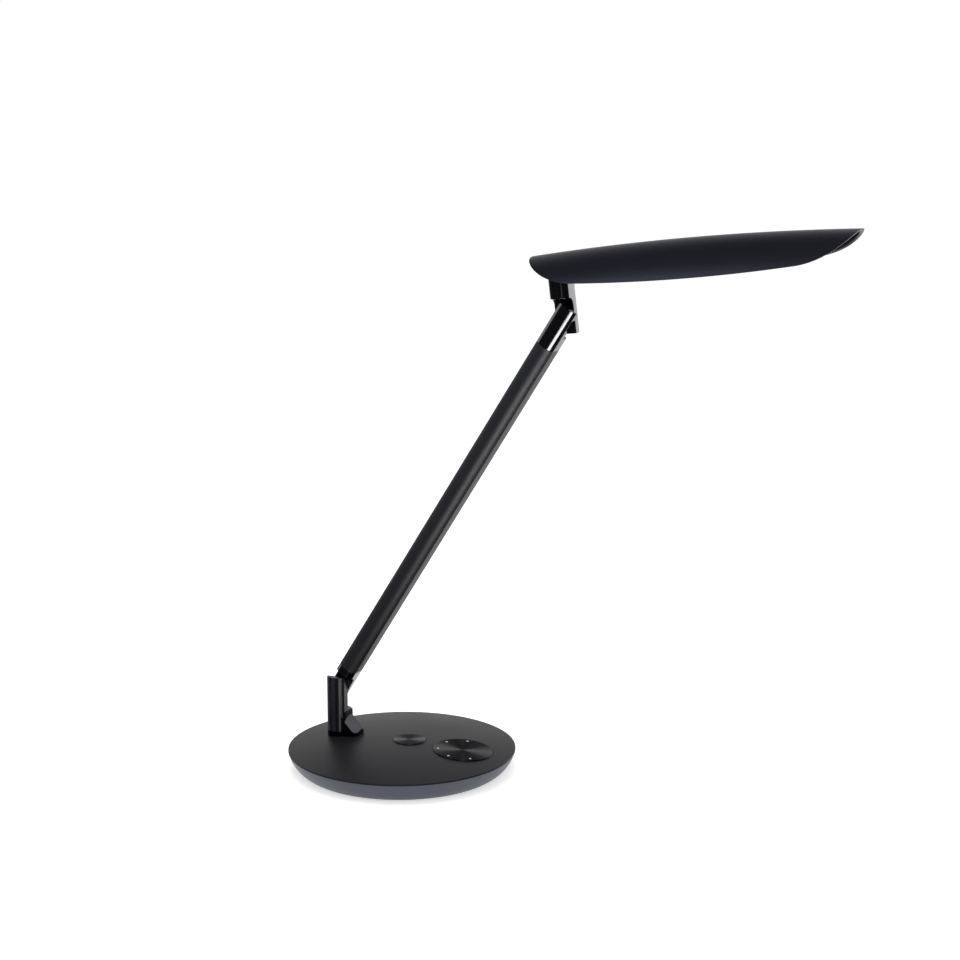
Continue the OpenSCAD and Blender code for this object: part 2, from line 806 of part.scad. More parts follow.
module head_spine() {
    color("silver") in_head() translate([0, 0, spine_n]) difference() {
        union() {
            linear_extrude(spine_t) {
                translate([main_back, -spine_w / 2])
                    square([spine_front - main_back, spine_w]);
                translate([spine_tail, -tail_w / 2]) square([main_back - spine_tail + 1, tail_w]);
            }
            for (y = [-rib_y, rib_y]) translate([main_back + 8, y - 1, 0])
                cube([spine_front - main_back - 16, 2, spine_t + 3]);
        }
        for (s = [-1, 1]) translate([s * spine_screw_u, 0, -1]) {
            cylinder(h = 10, r = 1.5 + screw_gap);
            cylinder(h = 2.2, r = 3.1);
        }
        neck_screw_spots() translate([0, 0, -1]) cylinder(h = 10, r = 1.5 + screw_gap);
        cover_screw_spots() translate([0, 0, -1]) cylinder(h = 10, r = 1.5 + screw_gap);
    }
}

module neck_screws() {
    color("silver") in_head() neck_screw_spots() {
        translate([0, 0, spine_n + spine_t]) cylinder(h = 2, r = 2.8);
        translate([0, 0, spine_n - 8.5]) cylinder(h = 9.5 + spine_t, r = 1.5);
    }
}

module spine_screws() {
    color("silver") in_head() for (s = [-1, 1]) translate([s * spine_screw_u, 0, spine_n]) {
        translate([0, 0, 0.05]) cylinder(h = 1.15, r = 3);
        translate([0, 0, 0.5]) cylinder(h = 8.5, r = 1.5);
    }
}

module led_board() {
    color("white") in_head()
        translate([-board_half, -led_board_w / 2, spine_n - led_board_t])
            cube([2 * board_half, led_board_w, led_board_t]);
}

module leds() {
    row_l = 2 * (board_half - led_end);
    color("khaki") in_head() for (i = [0 : led_n / 2 - 1], s = [-1, 1])
        translate([i * row_l / (led_n / 2 - 1) - row_l / 2, s * led_row, spine_n - led_board_t - led_t])
            translate([-led_size / 2, -led_size / 2, 0]) cube([led_size, led_size, led_t]);
}

module diffuser() {
    lip_in = cover_in + head_cover_t + diffuser_gap;
    color("ghostwhite") in_head() {
        intersection() {
            rim_sheet(cover_in, lip_in + diffuser_t / 2);
            stadium(window_hl - 0.15, window_hw - 0.15);
        }
        intersection() {
            rim_sheet(lip_in, lip_in + diffuser_t);
            stadium(window_hl + diffuser_lip, window_hw + diffuser_lip);
        }
    }
}

module head_cover() {
    color([0.85, 0.85, 0.84]) in_head() difference() {
        union() {
            intersection() {
                ridge_tube(arch_r - shell_t - shell_gap);
                rim_sheet(cover_in, cover_in + head_cover_t);
            }
            intersection() {
                above_rim(cover_in + 0.5);
                cover_screw_spots() translate([0, 0, -rim_drop])
                    cylinder(h = rim_drop + spine_n, r = 3.6);
            }
        }
        stadium(window_hl, window_hw);
        translate([neck_u, 0, -2 * rim_drop]) linear_extrude(3 * rim_drop)
            section(arm_hw, -neck_gap, false);
        cover_screw_spots() {
            translate([0, 0, -rim_drop]) cylinder(h = big, r = 1.5 + screw_gap);
            translate([0, 0, -rim_drop]) cylinder(h = rim_drop + cover_seat_n, r = 3.1);
        }
    }
}

module head_cover_screws() {
    color("dimgray") in_head() cover_screw_spots() {
        translate([0, 0, cover_seat_n - 1.2]) cylinder(h = 1.2, r = 2.9);
        translate([0, 0, cover_seat_n - 0.6]) cylinder(h = spine_n - cover_seat_n + 1.8, r = 1.5);
    }
}

foot_pad();
bottom_cover();
base_shell();
ballast();
top_plate();
cover_screws();
plate_screws();
post_screws();
control_board();
board_standoffs();
dial_encoder();
switch_housing();
power_inlet();
post_foot();
post();
lower_pivot_screw();
lower_spring_washer();
dial();
dial_dots();
power_button();
switch_plunger();
lower_arm_joint();
arm_tube();
upper_arm_joint();
arm_lead();
arm_screws();
lower_friction_washer();
lower_pivot_cap();
upper_pivot_screw();
upper_spring_washer();
neck();
upper_friction_washer();
upper_pivot_cap();
head_spine();
neck_screws();
spine_screws();
head_shell();
led_board();
leds();
diffuser();
head_cover();
head_cover_screws();
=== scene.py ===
"""Folding desk lamp: the finished pieces, their materials, the stage and the camera."""

import json
import math
from typing import NamedTuple

import bmesh
import bpy
import numpy as np
from mathutils import Matrix, Vector

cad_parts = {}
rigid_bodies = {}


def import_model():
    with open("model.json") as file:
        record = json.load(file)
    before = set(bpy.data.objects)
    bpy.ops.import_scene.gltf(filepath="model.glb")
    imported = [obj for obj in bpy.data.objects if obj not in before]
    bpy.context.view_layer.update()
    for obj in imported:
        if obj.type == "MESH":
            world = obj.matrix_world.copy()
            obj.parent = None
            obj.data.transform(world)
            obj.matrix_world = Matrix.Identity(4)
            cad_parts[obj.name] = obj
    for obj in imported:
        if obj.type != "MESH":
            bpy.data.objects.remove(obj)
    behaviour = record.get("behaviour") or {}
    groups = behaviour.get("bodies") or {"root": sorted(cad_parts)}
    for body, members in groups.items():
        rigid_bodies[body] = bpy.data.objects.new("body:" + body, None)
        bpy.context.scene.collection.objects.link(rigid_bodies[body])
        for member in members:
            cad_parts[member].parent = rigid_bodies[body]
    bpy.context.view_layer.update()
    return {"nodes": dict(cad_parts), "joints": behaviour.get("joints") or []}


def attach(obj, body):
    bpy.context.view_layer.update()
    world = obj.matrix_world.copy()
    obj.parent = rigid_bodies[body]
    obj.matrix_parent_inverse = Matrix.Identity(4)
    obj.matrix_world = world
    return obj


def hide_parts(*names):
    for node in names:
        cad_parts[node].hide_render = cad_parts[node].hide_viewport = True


bl_info = {
    "name": "Folding Desk Lamp",
    "version": (1, 0, 0),
    "blender": (4, 5, 0),
    "location": "View3D > Sidebar > Desk Lamp",
    "description": "Builds a folding desk lamp's finished pieces, materials and stage",
    "category": "Object",
}

for _old in list(bpy.data.objects):
    bpy.data.objects.remove(_old)
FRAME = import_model()
NODES = FRAME["nodes"]
JOINTS = {joint["name"]: joint for joint in FRAME["joints"]}
LOWER_PIVOT = np.array(JOINTS["arm_tilt"]["pos_m"], float)
UPPER_PIVOT = np.array(JOINTS["head_tilt"]["pos_m"], float)
DIAL_PLACE = np.array(JOINTS["dial_turn"]["pos_m"], float)
DIAL_AXIS = np.array(JOINTS["dial_turn"]["axis"], float)
ARM_SPAN = UPPER_PIVOT - LOWER_PIVOT

# A sliver that keeps two faces apart, the smallest crease that is still drawn, how often an
# interval is halved, and how many times the metre the drawn UVs count.
HAIRLINE = 2e-5
SMALLEST_CREASE = 5e-5
HALVINGS = 60
UV_PER_METRE = 10

# How finely the surfaces are divided.
CREASE_STEPS, FACE_STEPS, ROOT_STEPS = 7, 26, 15
TOE_STEPS, SLOPE_STEPS, HEEL_COLUMNS, CROWN_STEPS = 16, 14, 41, 6
SHELL_ROWS, SHELL_COLUMNS = 241, 97
DIAL_STEPS, BUTTON_STEPS, FLOOR_STEPS = 192, 160, 96
FLAG_STEPS, SKY_STEPS, FLAG_RISES, GROUND_RINGS = 65, 97, 17, 12

# Broken edges that differ from the plain one, as shares of it.
POST_EDGE, HEEL_EDGE, TUBE_EDGE = 2.2, 1.6, 0.6

# A face belongs to the heel's slope, which carries painted light from above, where its normal rises
# more than this.
LIT_SLOPE_RISE = 0.2

# The head's halvings start from this section angle, and from this share of the half length.
WIDEST_SECTION = math.radians(100)
PAST_THE_TIP = 1.02

# Turned discs, from the middle of the dished face over the rounded rim, down the side and
# back under. Each row is a share of the disc's radius, a distance that is added to it, and
# the height over the dome at the disc's middle.
DIAL_PROFILE = (
    (0.0, 0.0, -0.00005), (0.0, 0.004, 0.0), (0.5, 0.0, 0.00018), (1.0, -0.0009, 0.00043),
    (1.0, -0.00035, 0.00040), (1.0, -0.0001, 0.00022), (1.0, 0.0, -0.0001), (1.0, 0.0, -0.0033),
    (0.0, 0.0, -0.0033),
)
BUTTON_PROFILE = (
    (0.0, 0.0, 0.00055), (0.5, 0.0, 0.00068), (1.0, -0.0009, 0.0008), (1.0, -0.0004, 0.00072),
    (1.0, -0.0001, 0.00045), (1.0, 0.0, 0.0002), (1.0, 0.0, -0.0028), (1.0, 0.0018, -0.0028),
    (1.0, 0.0018, -0.0040), (0.0, 0.0, -0.0040),
)

# The fine noise's weight beside the broad one in the grain.
FINE_SHARE = 0.65

# The camera: where it stands, how far it turns to the left, and how far it looks down.
CAMERA_PLACE = (0.9140, -1.9125, 0.7351)
CAMERA_TURN = math.radians(23.5)
CAMERA_PITCH = math.radians(11.98)

# The air's strength for light that falls on things, the floor's glow to the eye and in gloss,
# the floor's darker shade as a share of its colour, and the radii of its rings.
AIR_FILL = 0.52
FLOOR_GLOW = 0.54
FLOOR_SHADE = 0.99
FLOOR_RINGS = (1.0, 60.0)

# The dark flag. In degrees: how far it reaches round from the front, how far its sheet on the
# ground reaches to the right, its foot in front, the height up to which the back is open, and
# the height up to which it is haze there. In metres: its radius, the ground sheet's inner and
# outer radius and level, and the level from which there is haze.
FLAG_SIDE, FLAG_GROUND_END = 112, 100
FLAG_FOOT, FLAG_OPEN, FLAG_HAZE_TOP = -10, 28, 52
FLAG_RADIUS = 3.4
FLAG_GROUND, FLAG_GROUND_LEVEL = (0.14, 3.35), 0.001
FLAG_HAZE_LEVEL = 0.1
FLAG_CLOTH_GLOW = (0.06, 0.062, 0.072)
FLAG_HAZE_GLOW = (0.45, 0.46, 0.50)

# Soft lamps: name, place, the point each looks at, width and height, power in watts, and
# whether gloss mirrors the lamp itself.
PANELS = (
    ("top_panel", (0.1, -0.4, 2.2), (0.1, 0, 0.2), (1.6, 1.6), 20, False),
    ("front_panel", (1.12, -1.85, 1.0), (-0.07, 0, 0.1), (0.5, 1.8), 11, False),
    ("back_panel", (1.3, 2.8, 0.35), (0.1, 0, 0.4), (1.3, 0.9), 3, True),
)

# Bright cards that only gloss mirrors: name, middle, two half sides, and brightness.
# post_card and joint_card lie on the floor and draw the bright lines on the post and on the
# upper joint. arm_card lights the arm's near face, and blue_card the head's lower side.
# left_card and right_card draw the dial's two highlights; the left one also lights the post's
# left edge, and the right one the side flats. The two bands mark the neck's near face.
CARDS = (
    ("post_card", (0.296, -0.60, 0.004), (0.13, -0.214, 0), (0.024, 0.015, 0), (17, 17, 17.6)),
    ("arm_card", (1.12, -1.85, 1.35), (0.14, 0.09, 0), (0, 0, 0.6), (11, 11.4, 12.8)),
    ("joint_card", (0.452, -0.52, 0.004), (0.04, 0.13, 0), (0.30, -0.09, 0), (25, 25, 26)),
    ("left_card", (-2.59, 0.18, 0.75), (0.05, 0.7, 0), (0, 0, 0.55), (2, 2, 2.1)),
    ("right_card", (1.45, 2.16, 0.75), (0.58, -0.39, 0), (0, 0, 0.55), (2.5, 2.5, 2.6)),
    ("blue_card", (-1.38, -1.97, 1.55), (0.74, -0.52, 0), (0, 0, 0.55), (2.3, 2.5, 3.8)),
    ("left_band", (-2.49, -0.17, 0.18), (0.02, -0.22, 0), (0, 0, 0.2), (1.2, 1.2, 1.4)),
    ("front_band", (0.94, -2.32, 0.18), (0.19, 0.075, 0), (0, 0, 0.2), (1.2, 1.2, 1.35)),
)


class Finish(NamedTuple):
    """A finish: the grain's values, and those that are the same all over the surface."""

    roughness: float
    scale: float
    shade: float
    relief: float
    unevenness: float = 0.06
    metallic: float = 0.0
    specular: float = 0.5
    ior: float = 1.5
    anisotropic: float = 0.0


FINISHES = {
    "bowl_satin": Finish(roughness=0.42, scale=1400, shade=0.10, relief=0.25),
    "plate_texture": Finish(roughness=0.42, scale=1500, shade=0.35, relief=0.5, specular=0.13),
    "foam_pad": Finish(roughness=0.85, scale=900, shade=0.4, relief=0.8),
    "moulded_black": Finish(roughness=0.6, scale=1200, shade=0.3, relief=0.4),
    "inlet_black": Finish(roughness=0.5, scale=1200, shade=0.2, relief=0.2),
    "post_lacquer": Finish(
        roughness=0.35, scale=600, shade=0.1, relief=0.02, unevenness=0.03, anisotropic=1.0
    ),
    # Painted light and shade: the heel's slope finish is a far lighter copy of the post's lacquer,
    # for the light that falls on its upward faces. The heel's side finish is a darker, duller copy,
    # for the shade on its sides.
    "heel_slope": Finish(
        roughness=0.8, scale=600, shade=0.1, relief=0.02, unevenness=0.03, specular=0.08
    ),
    "heel_side": Finish(roughness=0.35, scale=600, shade=0.1, relief=0.02, specular=0.12),
    "foot_rubber": Finish(roughness=0.3, scale=900, shade=0.2, relief=0.05, ior=1.15),
    "joint_lacquer": Finish(roughness=0.10, scale=500, shade=0.1, relief=0.01, unevenness=0.02),
    "arm_satin": Finish(
        roughness=0.54, scale=1300, shade=0.2, relief=0.22, specular=0.28, anisotropic=0.6
    ),
    "screw_plating": Finish(roughness=0.3, scale=800, shade=0.1, relief=0.1, metallic=1.0),
    "head_texture": Finish(roughness=0.42, scale=1100, shade=0.3, relief=0.5),
    "opal_sheet": Finish(roughness=0.5, scale=700, shade=0.03, relief=0.05),
    "cover_texture": Finish(roughness=0.8, scale=1200, shade=0.3, relief=0.15, ior=1.03),
    "dial_turned": Finish(
        roughness=0.50, scale=700, shade=0.1, relief=0.02, metallic=0.5, specular=0.34,
        anisotropic=1.0,
    ),
    "button_turned": Finish(
        roughness=0.46, scale=700, shade=0.1, relief=0.02, metallic=0.5, specular=0.2,
        anisotropic=0.95,
    ),
    "dot_print": Finish(roughness=0.5, scale=900, shade=0.1, relief=0.1),
    "ballast_cast": Finish(roughness=0.7, scale=500, shade=0.4, relief=0.8, metallic=0.5),
    "board_mask": Finish(roughness=0.3, scale=600, shade=0.2, relief=0.1),
    "brass_turned": Finish(roughness=0.3, scale=700, shade=0.1, relief=0.1, metallic=1.0),
    "moulded_housing": Finish(roughness=0.5, scale=900, shade=0.2, relief=0.2),
    "acetal_ivory": Finish(roughness=0.4, scale=900, shade=0.05, relief=0.1),
    "lead_sheath": Finish(roughness=0.5, scale=900, shade=0.1, relief=0.1),
    "mill_aluminium": Finish(roughness=0.35, scale=900, shade=0.1, relief=0.2, metallic=1.0),
    "strip_mask": Finish(roughness=0.4, scale=900, shade=0.04, relief=0.1),
    "phosphor": Finish(roughness=0.4, scale=900, shade=0.1, relief=0.1),
}

# Parts inside: their CAD nodes, their finish and its colour.
INNER_PARTS = (
    (("ballast",), "ballast_cast", (0.12, 0.12, 0.12)),
    (("control_board",), "board_mask", (0.01, 0.08, 0.03)),
    (("board_standoffs",), "brass_turned", (0.55, 0.40, 0.16)),
    (("dial_encoder", "switch_housing"), "moulded_housing", (0.02, 0.02, 0.02)),
    (("switch_plunger", "lower_friction_washer", "upper_friction_washer"), "acetal_ivory",
     (0.62, 0.60, 0.52)),
    (("arm_lead",), "lead_sheath", (0.45, 0.45, 0.45)),
    (("head_spine",), "mill_aluminium", (0.60, 0.60, 0.61)),
    (("led_board",), "strip_mask", (0.75, 0.75, 0.74)),
    (("leds",), "phosphor", (0.75, 0.60, 0.18)),
)


# ---- sizes and colours ----------------------------------------------------------------


def length(name, text, value, low=0.0001, high=2.0):
    """A length in metres, as one entry of the sizes."""
    return bpy.props.FloatProperty(
        name=name, description=text, default=value, min=low, max=high, unit="LENGTH", precision=5
    )


def tint(name, text, value):
    """A linear colour entry."""
    return bpy.props.FloatVectorProperty(
        name=name, description=text, default=value, size=3, min=0.0, max=1.0, subtype="COLOR"
    )


class LampSizes(bpy.types.PropertyGroup):
    """Sizes of the finished pieces, in metres."""

    rim_radius: length("Rim Radius", "Radius of the base over its rim", 0.110)
    rim_height: length("Rim Height", "Height of the base's rim above the table", 0.0215)
    dome_rise: length("Dome Rise", "Rise of the domed top over the rim", 0.008)
    post_width: length("Post Width", "Width of the post between its flat sides", 0.0185)
    arm_height: length("Arm Height", "Height of the arm's section between its flat sides", 0.0185)
    flat_depth: length("Flat Depth", "Depth of the flat sides, crease to crease", 0.016)
    bulge: length("Bulge", "Rise of the convex faces over the creases", 0.0045)
    crease: length("Crease", "Radius of the rounded creases", 0.0012)
    foot_rise: length("Foot Rise", "Height of the black foot over the dome", 0.0051)
    heel_length: length("Heel Length", "Reach of the heel in front of the post", 0.0139)
    heel_rise: length("Heel Rise", "Height of the heel's slope over the foot", 0.015)
    heel_lip: length("Heel Lip", "Height of the toe's upright front", 0.0016)
    heel_bow: length("Heel Bow", "Radius of the heel's slope across its width", 0.018)
    heel_half: length("Heel Half Width", "Half the width of the heel", 0.0105)
    toe_corner: length("Toe Corner", "Radius of the toe's corners in plan", 0.006)
    crown_out: length("Crown Out", "Reach of the heel's crown in front of the post", 0.0014)
    heel_tuck: length("Heel Tuck", "Reach of the slope behind the post's front face", 0.004)
    crown_round: length("Crown Round", "Radius of the crown's front corners", 0.0006)
    crown_drop: length("Crown Drop", "Depth of the crown under the post's far step", 0.0005)
    lap_end: length("Lap End", "Reach of a lap's end past its pivot", 0.0115)
    lap_shoulder: length("Lap Shoulder", "Distance of a lap's shoulder from its pivot", 0.018)
    post_step: length("Post Step", "Drop of the post's far step under the pivot", 0.023)
    lap_root: length("Lap Root", "Radius in a lap's root and on the end that turns past it", 0.007)
    lap_gap: length("Lap Gap", "Gap between the halves of a lap", 0.0004)
    collar_low: length("Lower Collar", "Gloss collar in front of the arm's lower lap", 0.008)
    collar_up: length("Upper Collar", "Gloss collar behind the arm's upper lap", 0.013)
    tube_wall: length("Tube Wall", "Wall of the arm's tube", 0.002)
    neck_gap: length("Neck Gap", "Gap between the neck's far end and the arm's shoulder", 0.0004)
    edge_break: length("Edge Break", "Width of the broken edges", 0.0004)
    head_length: length("Head Length", "Length of the head from tip to tip", 0.304)
    arch_radius: length("Arch Radius", "Radius of the head's arched section", 0.046)
    head_bow: length("Head Bow", "Rise of the ridge over the tips", 0.005)
    rim_drop: length("Rim Drop", "Depth of the head's rim under the tips", 0.027)
    rim_end_radius: length("Rim End Radius", "Radius of the rim's line at its ends", 0.076)
    rim_mid_radius: length("Rim Middle Radius", "Radius of the rim's line between them", 1.7)
    shell_wall: length("Shell Wall", "Wall of the head shell", 0.002)
    neck_back: length("Neck Back", "Distance of the neck in front of the rear tip", 0.025)
    neck_length: length("Neck Length", "Height of the tips over the upper pivot", 0.0575)
    spine_drop: length("Spine Drop", "Depth of the spine's underside under the tips", 0.008)
    dial_radius: length("Dial Radius", "Radius of the dimmer dial", 0.0288)
    button_radius: length("Button Radius", "Radius of the power button", 0.01575)
    button_offset: length("Button Offset", "Distance of the button in front of the centre", 0.008)
    camera_lens: bpy.props.FloatProperty(
        name="Camera Lens", description="Focal length in millimetres", default=85.875,
        min=20, max=300,
    )
    head_tilt: bpy.props.FloatProperty(
        name="Head Tilt",
        description="Tilt of the head above the horizontal at rest",
        default=math.radians(7),
        subtype="ANGLE",
    )


class LampColours(bpy.types.PropertyGroup):
    """Colours of the finishes, as linear values."""

    bowl: tint("Bowl", "Satin paint of the base's side", (0.056, 0.064, 0.093))
    plate: tint("Plate", "Fine textured top of the base", (0.0125, 0.0122, 0.0142))
    post: tint("Post", "Lacquer of the post", (0.0055, 0.0050, 0.0070))
    # Painted light: the heel's slope gets this light grey instead of the post's dark lacquer, for
    # the light that falls on it from above.
    heel: tint("Heel", "Slope of the post's heel", (0.104, 0.101, 0.112))
    joint: tint("Joint", "Lacquer of the joints and the neck", (0.0018, 0.0018, 0.0024))
    arm: tint("Arm", "Matt black of the arm", (0.0100, 0.0102, 0.0120))
    head: tint("Head", "Textured black of the head", (0.0048, 0.0054, 0.0085))
    foot: tint("Foot", "Black foot of the post", (0.0008, 0.0008, 0.0010))
    rubber: tint("Rubber", "Black rubber", (0.006, 0.006, 0.0065))
    dial: tint("Dial", "Turned face of the dial", (0.0070, 0.0070, 0.0082))
    dots: tint("Dots", "Marks on the dial", (0.55, 0.56, 0.60))
    button: tint("Button", "Turned face of the button", (0.020, 0.020, 0.022))
    steel: tint("Steel", "Plated screws", (0.55, 0.55, 0.56))
    opal: tint("Opal", "Opal diffuser", (0.80, 0.80, 0.78))
    floor: tint("Floor", "Studio floor", (0.90, 0.90, 0.90))


# ---- mesh helpers -----------------------------------------------------------------------


def sheet_faces(rows, cols, wrap_rows=False, wrap_cols=False):
    """Quads of a rows by cols grid of points, numbered row by row."""
    i, j = np.meshgrid(
        np.arange(rows if wrap_rows else rows - 1),
        np.arange(cols if wrap_cols else cols - 1),
        indexing="ij",
    )
    i2, j2 = (i + 1) % rows, (j + 1) % cols
    return np.stack([i * cols + j, i2 * cols + j, i2 * cols + j2, i * cols + j2], -1).reshape(-1, 4)


class Patchwork:
    """Collects grids and caps of points, which are joined into one closed mesh."""

    def __init__(self):
        self.points, self.faces, self.uvs, self.count = [], [], [], 0

    def grid(self, surface, wrap_rows=False, wrap_cols=False, uv=None):
        """Adds a surface given as an array of rows, columns and coordinates."""
        surface = np.asarray(surface, float)
        rows, cols = surface.shape[:2]
        faces = sheet_faces(rows, cols, wrap_rows, wrap_cols) + self.count
        self.points.append(surface.reshape(-1, 3))
        self.uvs.append(np.zeros((rows * cols, 2)) if uv is None else np.asarray(uv).reshape(-1, 2))
        self.faces.extend(faces.tolist())
        self.count += rows * cols
        return self

    def cap(self, ring):
        """Adds one flat face round a ring of points."""
        ring = np.asarray(ring, float)
        self.points.append(ring)
        self.uvs.append(np.zeros((len(ring), 2)))
        self.faces.append((np.arange(len(ring)) + self.count).tolist())
        self.count += len(ring)
        return self

    def mesh(self, name, join=2e-6, with_uv=False):
        """The mesh, with its seams and poles closed and its faces outwards."""
        mesh = bpy.data.meshes.new(name)
        points = np.concatenate(self.points)
        mesh.from_pydata(points.tolist(), [], self.faces)
        if with_uv:
            layer = mesh.uv_layers.new(name="drawn")
            corners = np.zeros(len(mesh.loops), np.int32)
            mesh.loops.foreach_get("vertex_index", corners)
            layer.data.foreach_set("uv", np.concatenate(self.uvs)[corners].ravel())
        work = bmesh.new()
        work.from_mesh(mesh)
        bmesh.ops.remove_doubles(work, verts=work.verts, dist=join)
        bmesh.ops.dissolve_degenerate(work, edges=work.edges, dist=join * 0.5)
        bmesh.ops.recalc_face_normals(work, faces=work.faces)
        work.to_mesh(mesh)
        work.free()
        return mesh


def face_values(mesh, attribute):
    """One vector per face, such as its normal or its centre."""
    values = np.zeros((len(mesh.polygons), 3), np.float32)
    mesh.polygons.foreach_get(attribute, values.ravel())
    return values


def finish_piece(name, mesh, body, material, nodes=(), edge=0.0, angle=32.0, segments=2):
    """Puts a mesh into the scene as a piece that rides on a body and stands for CAD nodes."""
    mesh.polygons.foreach_set("use_smooth", np.ones(len(mesh.polygons), bool))
    piece = bpy.data.objects.new(name, mesh)
    bpy.context.scene.collection.objects.link(piece)
    mesh.materials.append(material)
    if edge > 0:
        soft = piece.modifiers.new("broken_edges", "BEVEL")
        soft.width, soft.segments, soft.limit_method = edge, segments, "ANGLE"
        soft.angle_limit, soft.harden_normals = math.radians(angle), True
        soft.miter_outer = "MITER_ARC"
    else:
        mesh.set_sharp_from_angle(angle=math.radians(angle))
    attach(piece, body)
    if nodes:
        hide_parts(*nodes)
    return piece


def tilted(points, pivot, tilt):
    """Points of a frame whose x axis is tilted up by tilt about Y at pivot, in the lamp's frame."""
    points = np.asarray(points, float)
    out = np.empty_like(points)
    out[..., 0] = pivot[0] + points[..., 0] * math.cos(tilt) - points[..., 2] * math.sin(tilt)
    out[..., 1] = pivot[1] + points[..., 1]
    out[..., 2] = pivot[2] + points[..., 0] * math.sin(tilt) + points[..., 2] * math.cos(tilt)
    return out


def arm_tilt():
    """Tilt of the line between the two pivots."""
    return math.atan2(ARM_SPAN[2], ARM_SPAN[0])


def arm_length():
    """Distance between the two pivots."""
    return float(np.linalg.norm(ARM_SPAN))


def on_head(points, sizes):
    """Points along, across and above the head's tip line, in the lamp's frame."""
    points = np.asarray(points, float)
    neck = sizes.neck_back - sizes.head_length / 2
    local = np.stack(
        [points[..., 0] - neck, points[..., 1], points[..., 2] + sizes.neck_length], -1
    )
    return tilted(local, UPPER_PIVOT, sizes.head_tilt)


def dome_height(sizes, radius):
    """Height of the domed top at a distance from the centre: a sphere over the rim."""
    ball = (sizes.rim_radius**2 + sizes.dome_rise**2) / (2 * sizes.dome_rise)
    crown = sizes.rim_height + sizes.dome_rise
    return crown - ball + np.sqrt(ball**2 - np.square(radius))


# ---- the lamp's section and its stepped bars ------------------------------------------------


def section_half(sizes, width, split, inset=0.0):
    """Upper half of the section: a flat side, a rounded crease, the convex face, and back down.

    The convex face is a circle through the creases; each crease is a small circle inside it
    that touches both the flat side and the face. The chain starts and ends at y = split.
    """
    half = width / 2
    depth = sizes.flat_depth / 2 + sizes.bulge
    face = (half**2 + sizes.bulge**2) / (2 * sizes.bulge)
    centre = depth - face
    face, half = face - inset, half - inset
    small = max(sizes.crease - inset, SMALLEST_CREASE)
    top = centre + math.sqrt((face - small) ** 2 - (half - small) ** 2)
    turn = math.atan2(top - centre, half - small)
    low = np.linspace(0.0, turn, CREASE_STEPS)
    mid = np.linspace(turn, math.pi - turn, FACE_STEPS)[1:-1]
    right = np.stack([half - small + small * np.cos(low), top + small * np.sin(low)], -1)
    face_part = np.stack([face * np.cos(mid), centre + face * np.sin(mid)], -1)
    left = right[::-1] * (-1, 1)
    ends = np.array([[half, split]])
    return np.concatenate([ends, right, face_part, left, ends * (-1, 1)])


def section_ring(sizes, width, inset=0.0):
    """The whole section as one closed ring, counter-clockwise."""
    upper = section_half(sizes, width, 0.0, inset)
    return np.concatenate([upper[:-1], -upper[:-1]])


def drawn_uv(rows):
    """UVs of a bar: u is ten times the distance along it, and v counts the points across it."""
    across = np.broadcast_to(np.linspace(0, 1, rows.shape[1]), rows.shape[:2])
    return np.stack([rows[..., 2] * UV_PER_METRE, across], -1)


def stepped_bar(sizes, width, common, far_end, near_end):
    """A bar of the lamp's section whose far and near halves end at different stations.

    Both halves start at the common station. The longer half is a half-lap with a flat inner
    face, half a lap gap off the middle plane. A quarter circle of the root radius r joins the
    face to the near half: turn t gives the distance r (1 - sin t) along the bar and the depth
    r (1 - cos t). It rounds the end of a long near half, and it fills the root that a long far
    half has at the near shoulder. Gives (across, depth, along) for every point.
    """
    far_long = abs(far_end - common) > abs(near_end - common)
    side = 1.0 if far_long else -1.0
    long_end, short_end = (far_end, near_end) if far_long else (near_end, far_end)
    way = math.copysign(1.0, long_end - short_end)
    split, root = sizes.lap_gap / 2, sizes.lap_root
    turn = np.linspace(0.0, math.pi / 2, ROOT_STEPS)
    along, deep = root * (1 - np.sin(turn)), root * (1 - np.cos(turn))
    if far_long:
        stations = np.concatenate([[long_end], short_end + way * along, [common]])
        splits = np.concatenate([[split], split - deep, [split - root]])
        seam = split - root
    else:
        stations = np.concatenate([[common, short_end], long_end - way * along])
        splits = np.concatenate([[split, split], split + deep])
        seam = split

    def ring(chain, station):
        """A chain of section points at one station along the bar."""
        return np.column_stack([chain, np.full(len(chain), station)])

    rows = np.stack([
        ring(section_half(sizes, width, depth) * (1, side), at)
        for at, depth in zip(stations, splits)
    ])
    short_chain = section_half(sizes, width, -seam) * (1, -side)
    short_rows = np.stack([ring(short_chain, at) for at in (short_end, common)])
    work = Patchwork().grid(rows, uv=drawn_uv(rows))
    work.grid(short_rows, uv=drawn_uv(short_rows))
    at_common = rows[-1] if far_long else rows[0]
    work.cap(rows[0] if far_long else rows[-1])
    work.cap(ring(short_chain, short_end))
    work.cap(np.concatenate([at_common, ring(short_chain[::-1], common)[1:-1]]))
    inner = rows[:-1] if far_long else rows[1:]
    work.grid(inner[:, [0, -1]])
    return work


def moved(work, change):
    """The same patchwork with its points passed through a change of frame."""
    work.points = [change(points) for points in work.points]
    return work


def turned(profile, count, centre=(0, 0, 0), axis=(0, 0, 1)):
    """Surface of revolution: a profile of (radius, height) turned about an axis in the XZ plane.

    With s the side vector across the axis n, a point is r cos(t) s + r sin(t) Y + h n. The
    UVs hold ten times the radius, and the turn as a share of the circle.
    """
    profile = np.asarray(profile, float)
    angle = np.arange(count) * 2 * math.pi / count
    radius, height = profile[:, 0][:, None], profile[:, 1][:, None]
    local = np.stack(
        [radius * np.cos(angle), radius * np.sin(angle), height + 0 * angle], -1
    )
    ax = np.asarray(axis, float) / np.linalg.norm(axis)
    side = np.array([ax[2], 0.0, -ax[0]])
    out = local[..., :1] * side + local[..., 1:2] * (0.0, 1.0, 0.0) + local[..., 2:] * ax
    uv = np.stack(
        [np.broadcast_to(radius * UV_PER_METRE, out.shape[:2]),
         np.broadcast_to(angle / (2 * math.pi), out.shape[:2])], -1
    )
    return out + np.asarray(centre, float), uv


